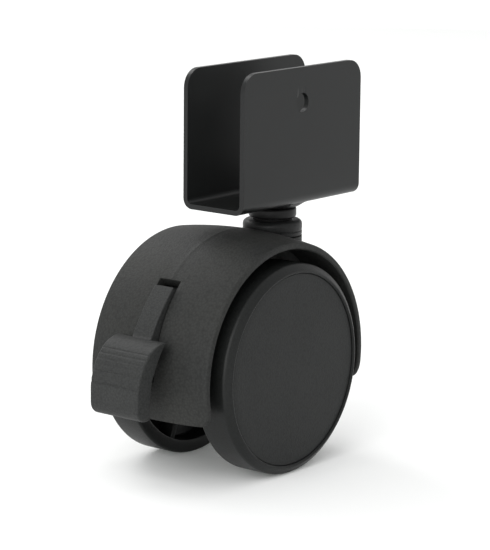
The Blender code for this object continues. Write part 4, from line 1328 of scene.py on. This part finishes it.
class CASTER_OT_stage(bpy.types.Operator):
    """Sets up the floor, the light and the camera"""

    bl_idname = "caster.stage"
    bl_label = "Stage"

    def execute(self, context):
        settings = context.scene.caster_stage
        bm = bmesh.new()
        ground = AXLE.z - WHEEL_RADIUS
        turns = spread(0.0, math.tau, 64)[:-1]
        bm.faces.new([bm.verts.new(round_swivel(FLOOR_RADIUS, ground, turn)) for turn in turns])
        floor = new_piece("studio_floor", bm)
        material, shader, coordinates = blank_material("pale_studio_floor")
        haze = noise(material, coordinates.outputs["Object"], 0.5, 2.0, 0.5, (-600, 0))
        tone = ramp_between(material, haze, (0.96, 0.97, 0.96), (0.98, 0.98, 0.98), (-300, 0))
        material.node_tree.links.new(tone, shader.inputs["Base Color"])
        shader.inputs["Roughness"].default_value = 0.9
        # Painted light: the floor glows faintly green, which lifts and tints the shadow under the
        # caster and adds a little glow from below
        shader.inputs["Emission Color"].default_value = (0.92, 1.0, 0.93, 1.0)
        shader.inputs["Emission Strength"].default_value = 0.05
        shader.inputs["Specular IOR Level"].default_value = 0.1
        floor.data.materials.append(material)

        world = bpy.data.worlds.new("soft_studio")
        world.use_nodes = True
        sky = world.node_tree
        coordinates = sky.nodes.new("ShaderNodeTexCoord")
        split = sky.nodes.new("ShaderNodeSeparateXYZ")
        level = sky.nodes.new("ShaderNodeMapRange")
        level.inputs["From Max"].default_value = HORIZON_BLEND
        level.inputs["To Min"].default_value = HORIZON_LEVEL
        level.inputs["To Max"].default_value = settings.sky_level
        sky.links.new(coordinates.outputs["Generated"], split.inputs["Vector"])
        sky.links.new(split.outputs["Z"], level.inputs["Value"])
        sky.links.new(level.outputs["Result"], sky.nodes["Background"].inputs["Strength"])
        sky.nodes["Background"].inputs["Color"].default_value = (1.0, 1.0, 1.0, 1.0)
        context.scene.world = world
        context.scene.view_settings.view_transform = "Standard"

        aim = Vector(settings.camera_aim)
        for name, offset, size in SOFTBOXES:
            power = getattr(settings, f"{name}_power")
            area_light(f"{name}_softbox", aim + Vector(offset), aim, size, power)

        turn, rise, roll = settings.camera_turn, settings.camera_rise, settings.camera_roll
        level = math.cos(rise)
        back = Vector((math.sin(turn) * level, -math.cos(turn) * level, math.sin(rise)))
        right = Vector((math.cos(turn), math.sin(turn), 0.0))
        up = back.cross(right)
        side = right * math.cos(roll) + up * math.sin(roll)
        above = up * math.cos(roll) - right * math.sin(roll)
        camera = bpy.data.objects.new("studio_camera", bpy.data.cameras.new("studio_camera"))
        camera.data.lens = settings.camera_lens
        camera.data.sensor_width = 36.0
        camera.data.clip_start = 0.01
        camera.data.clip_end = 50.0
        pose = Matrix((side, above, back)).transposed().to_4x4()
        pose.translation = aim + back * settings.camera_distance
        camera.matrix_world = pose
        context.scene.collection.objects.link(camera)
        context.scene.camera = camera
        return {"FINISHED"}


class CASTER_PT_panel(bpy.types.Panel):
    """Lists the caster's pieces and their settings"""

    bl_idname = "CASTER_PT_panel"
    bl_label = "Furniture caster"
    bl_space_type = "VIEW_3D"
    bl_region_type = "UI"
    bl_category = "Caster"

    def draw(self, context):
        scene = context.scene
        for operator in OPERATORS:
            self.layout.operator(operator.bl_idname)
        for name, group in GROUPS.items():
            box = self.layout.box()
            box.label(text=group.__doc__)
            for prop in group.__annotations__:
                box.prop(getattr(scene, name), prop)


GROUPS = {
    "caster_bracket": CasterBracketSettings,
    "caster_hood": CasterHoodSettings,
    "caster_wheels": CasterWheelSettings,
    "caster_lever": CasterLeverSettings,
    "caster_stage": CasterStageSettings,
}
OPERATORS = (
    CASTER_OT_bracket,
    CASTER_OT_stem,
    CASTER_OT_bush,
    CASTER_OT_housing,
    CASTER_OT_wheels,
    CASTER_OT_lever,
    CASTER_OT_hardware,
    CASTER_OT_stage,
)


def register():
    for name, group in GROUPS.items():
        bpy.utils.register_class(group)
        setattr(bpy.types.Scene, name, PointerProperty(type=group))
    for operator in OPERATORS:
        bpy.utils.register_class(operator)
    bpy.utils.register_class(CASTER_PT_panel)


def unregister():
    bpy.utils.unregister_class(CASTER_PT_panel)
    for operator in reversed(OPERATORS):
        bpy.utils.unregister_class(operator)
    for name, group in reversed(GROUPS.items()):
        delattr(bpy.types.Scene, name)
        bpy.utils.unregister_class(group)


def main():
    register()
    bpy.ops.caster.bracket()
    bpy.ops.caster.stem()
    bpy.ops.caster.bush()
    bpy.ops.caster.housing()
    bpy.ops.caster.wheels()
    bpy.ops.caster.lever()
    bpy.ops.caster.hardware()
    bpy.ops.caster.stage()


if __name__ == "__main__":
    main()
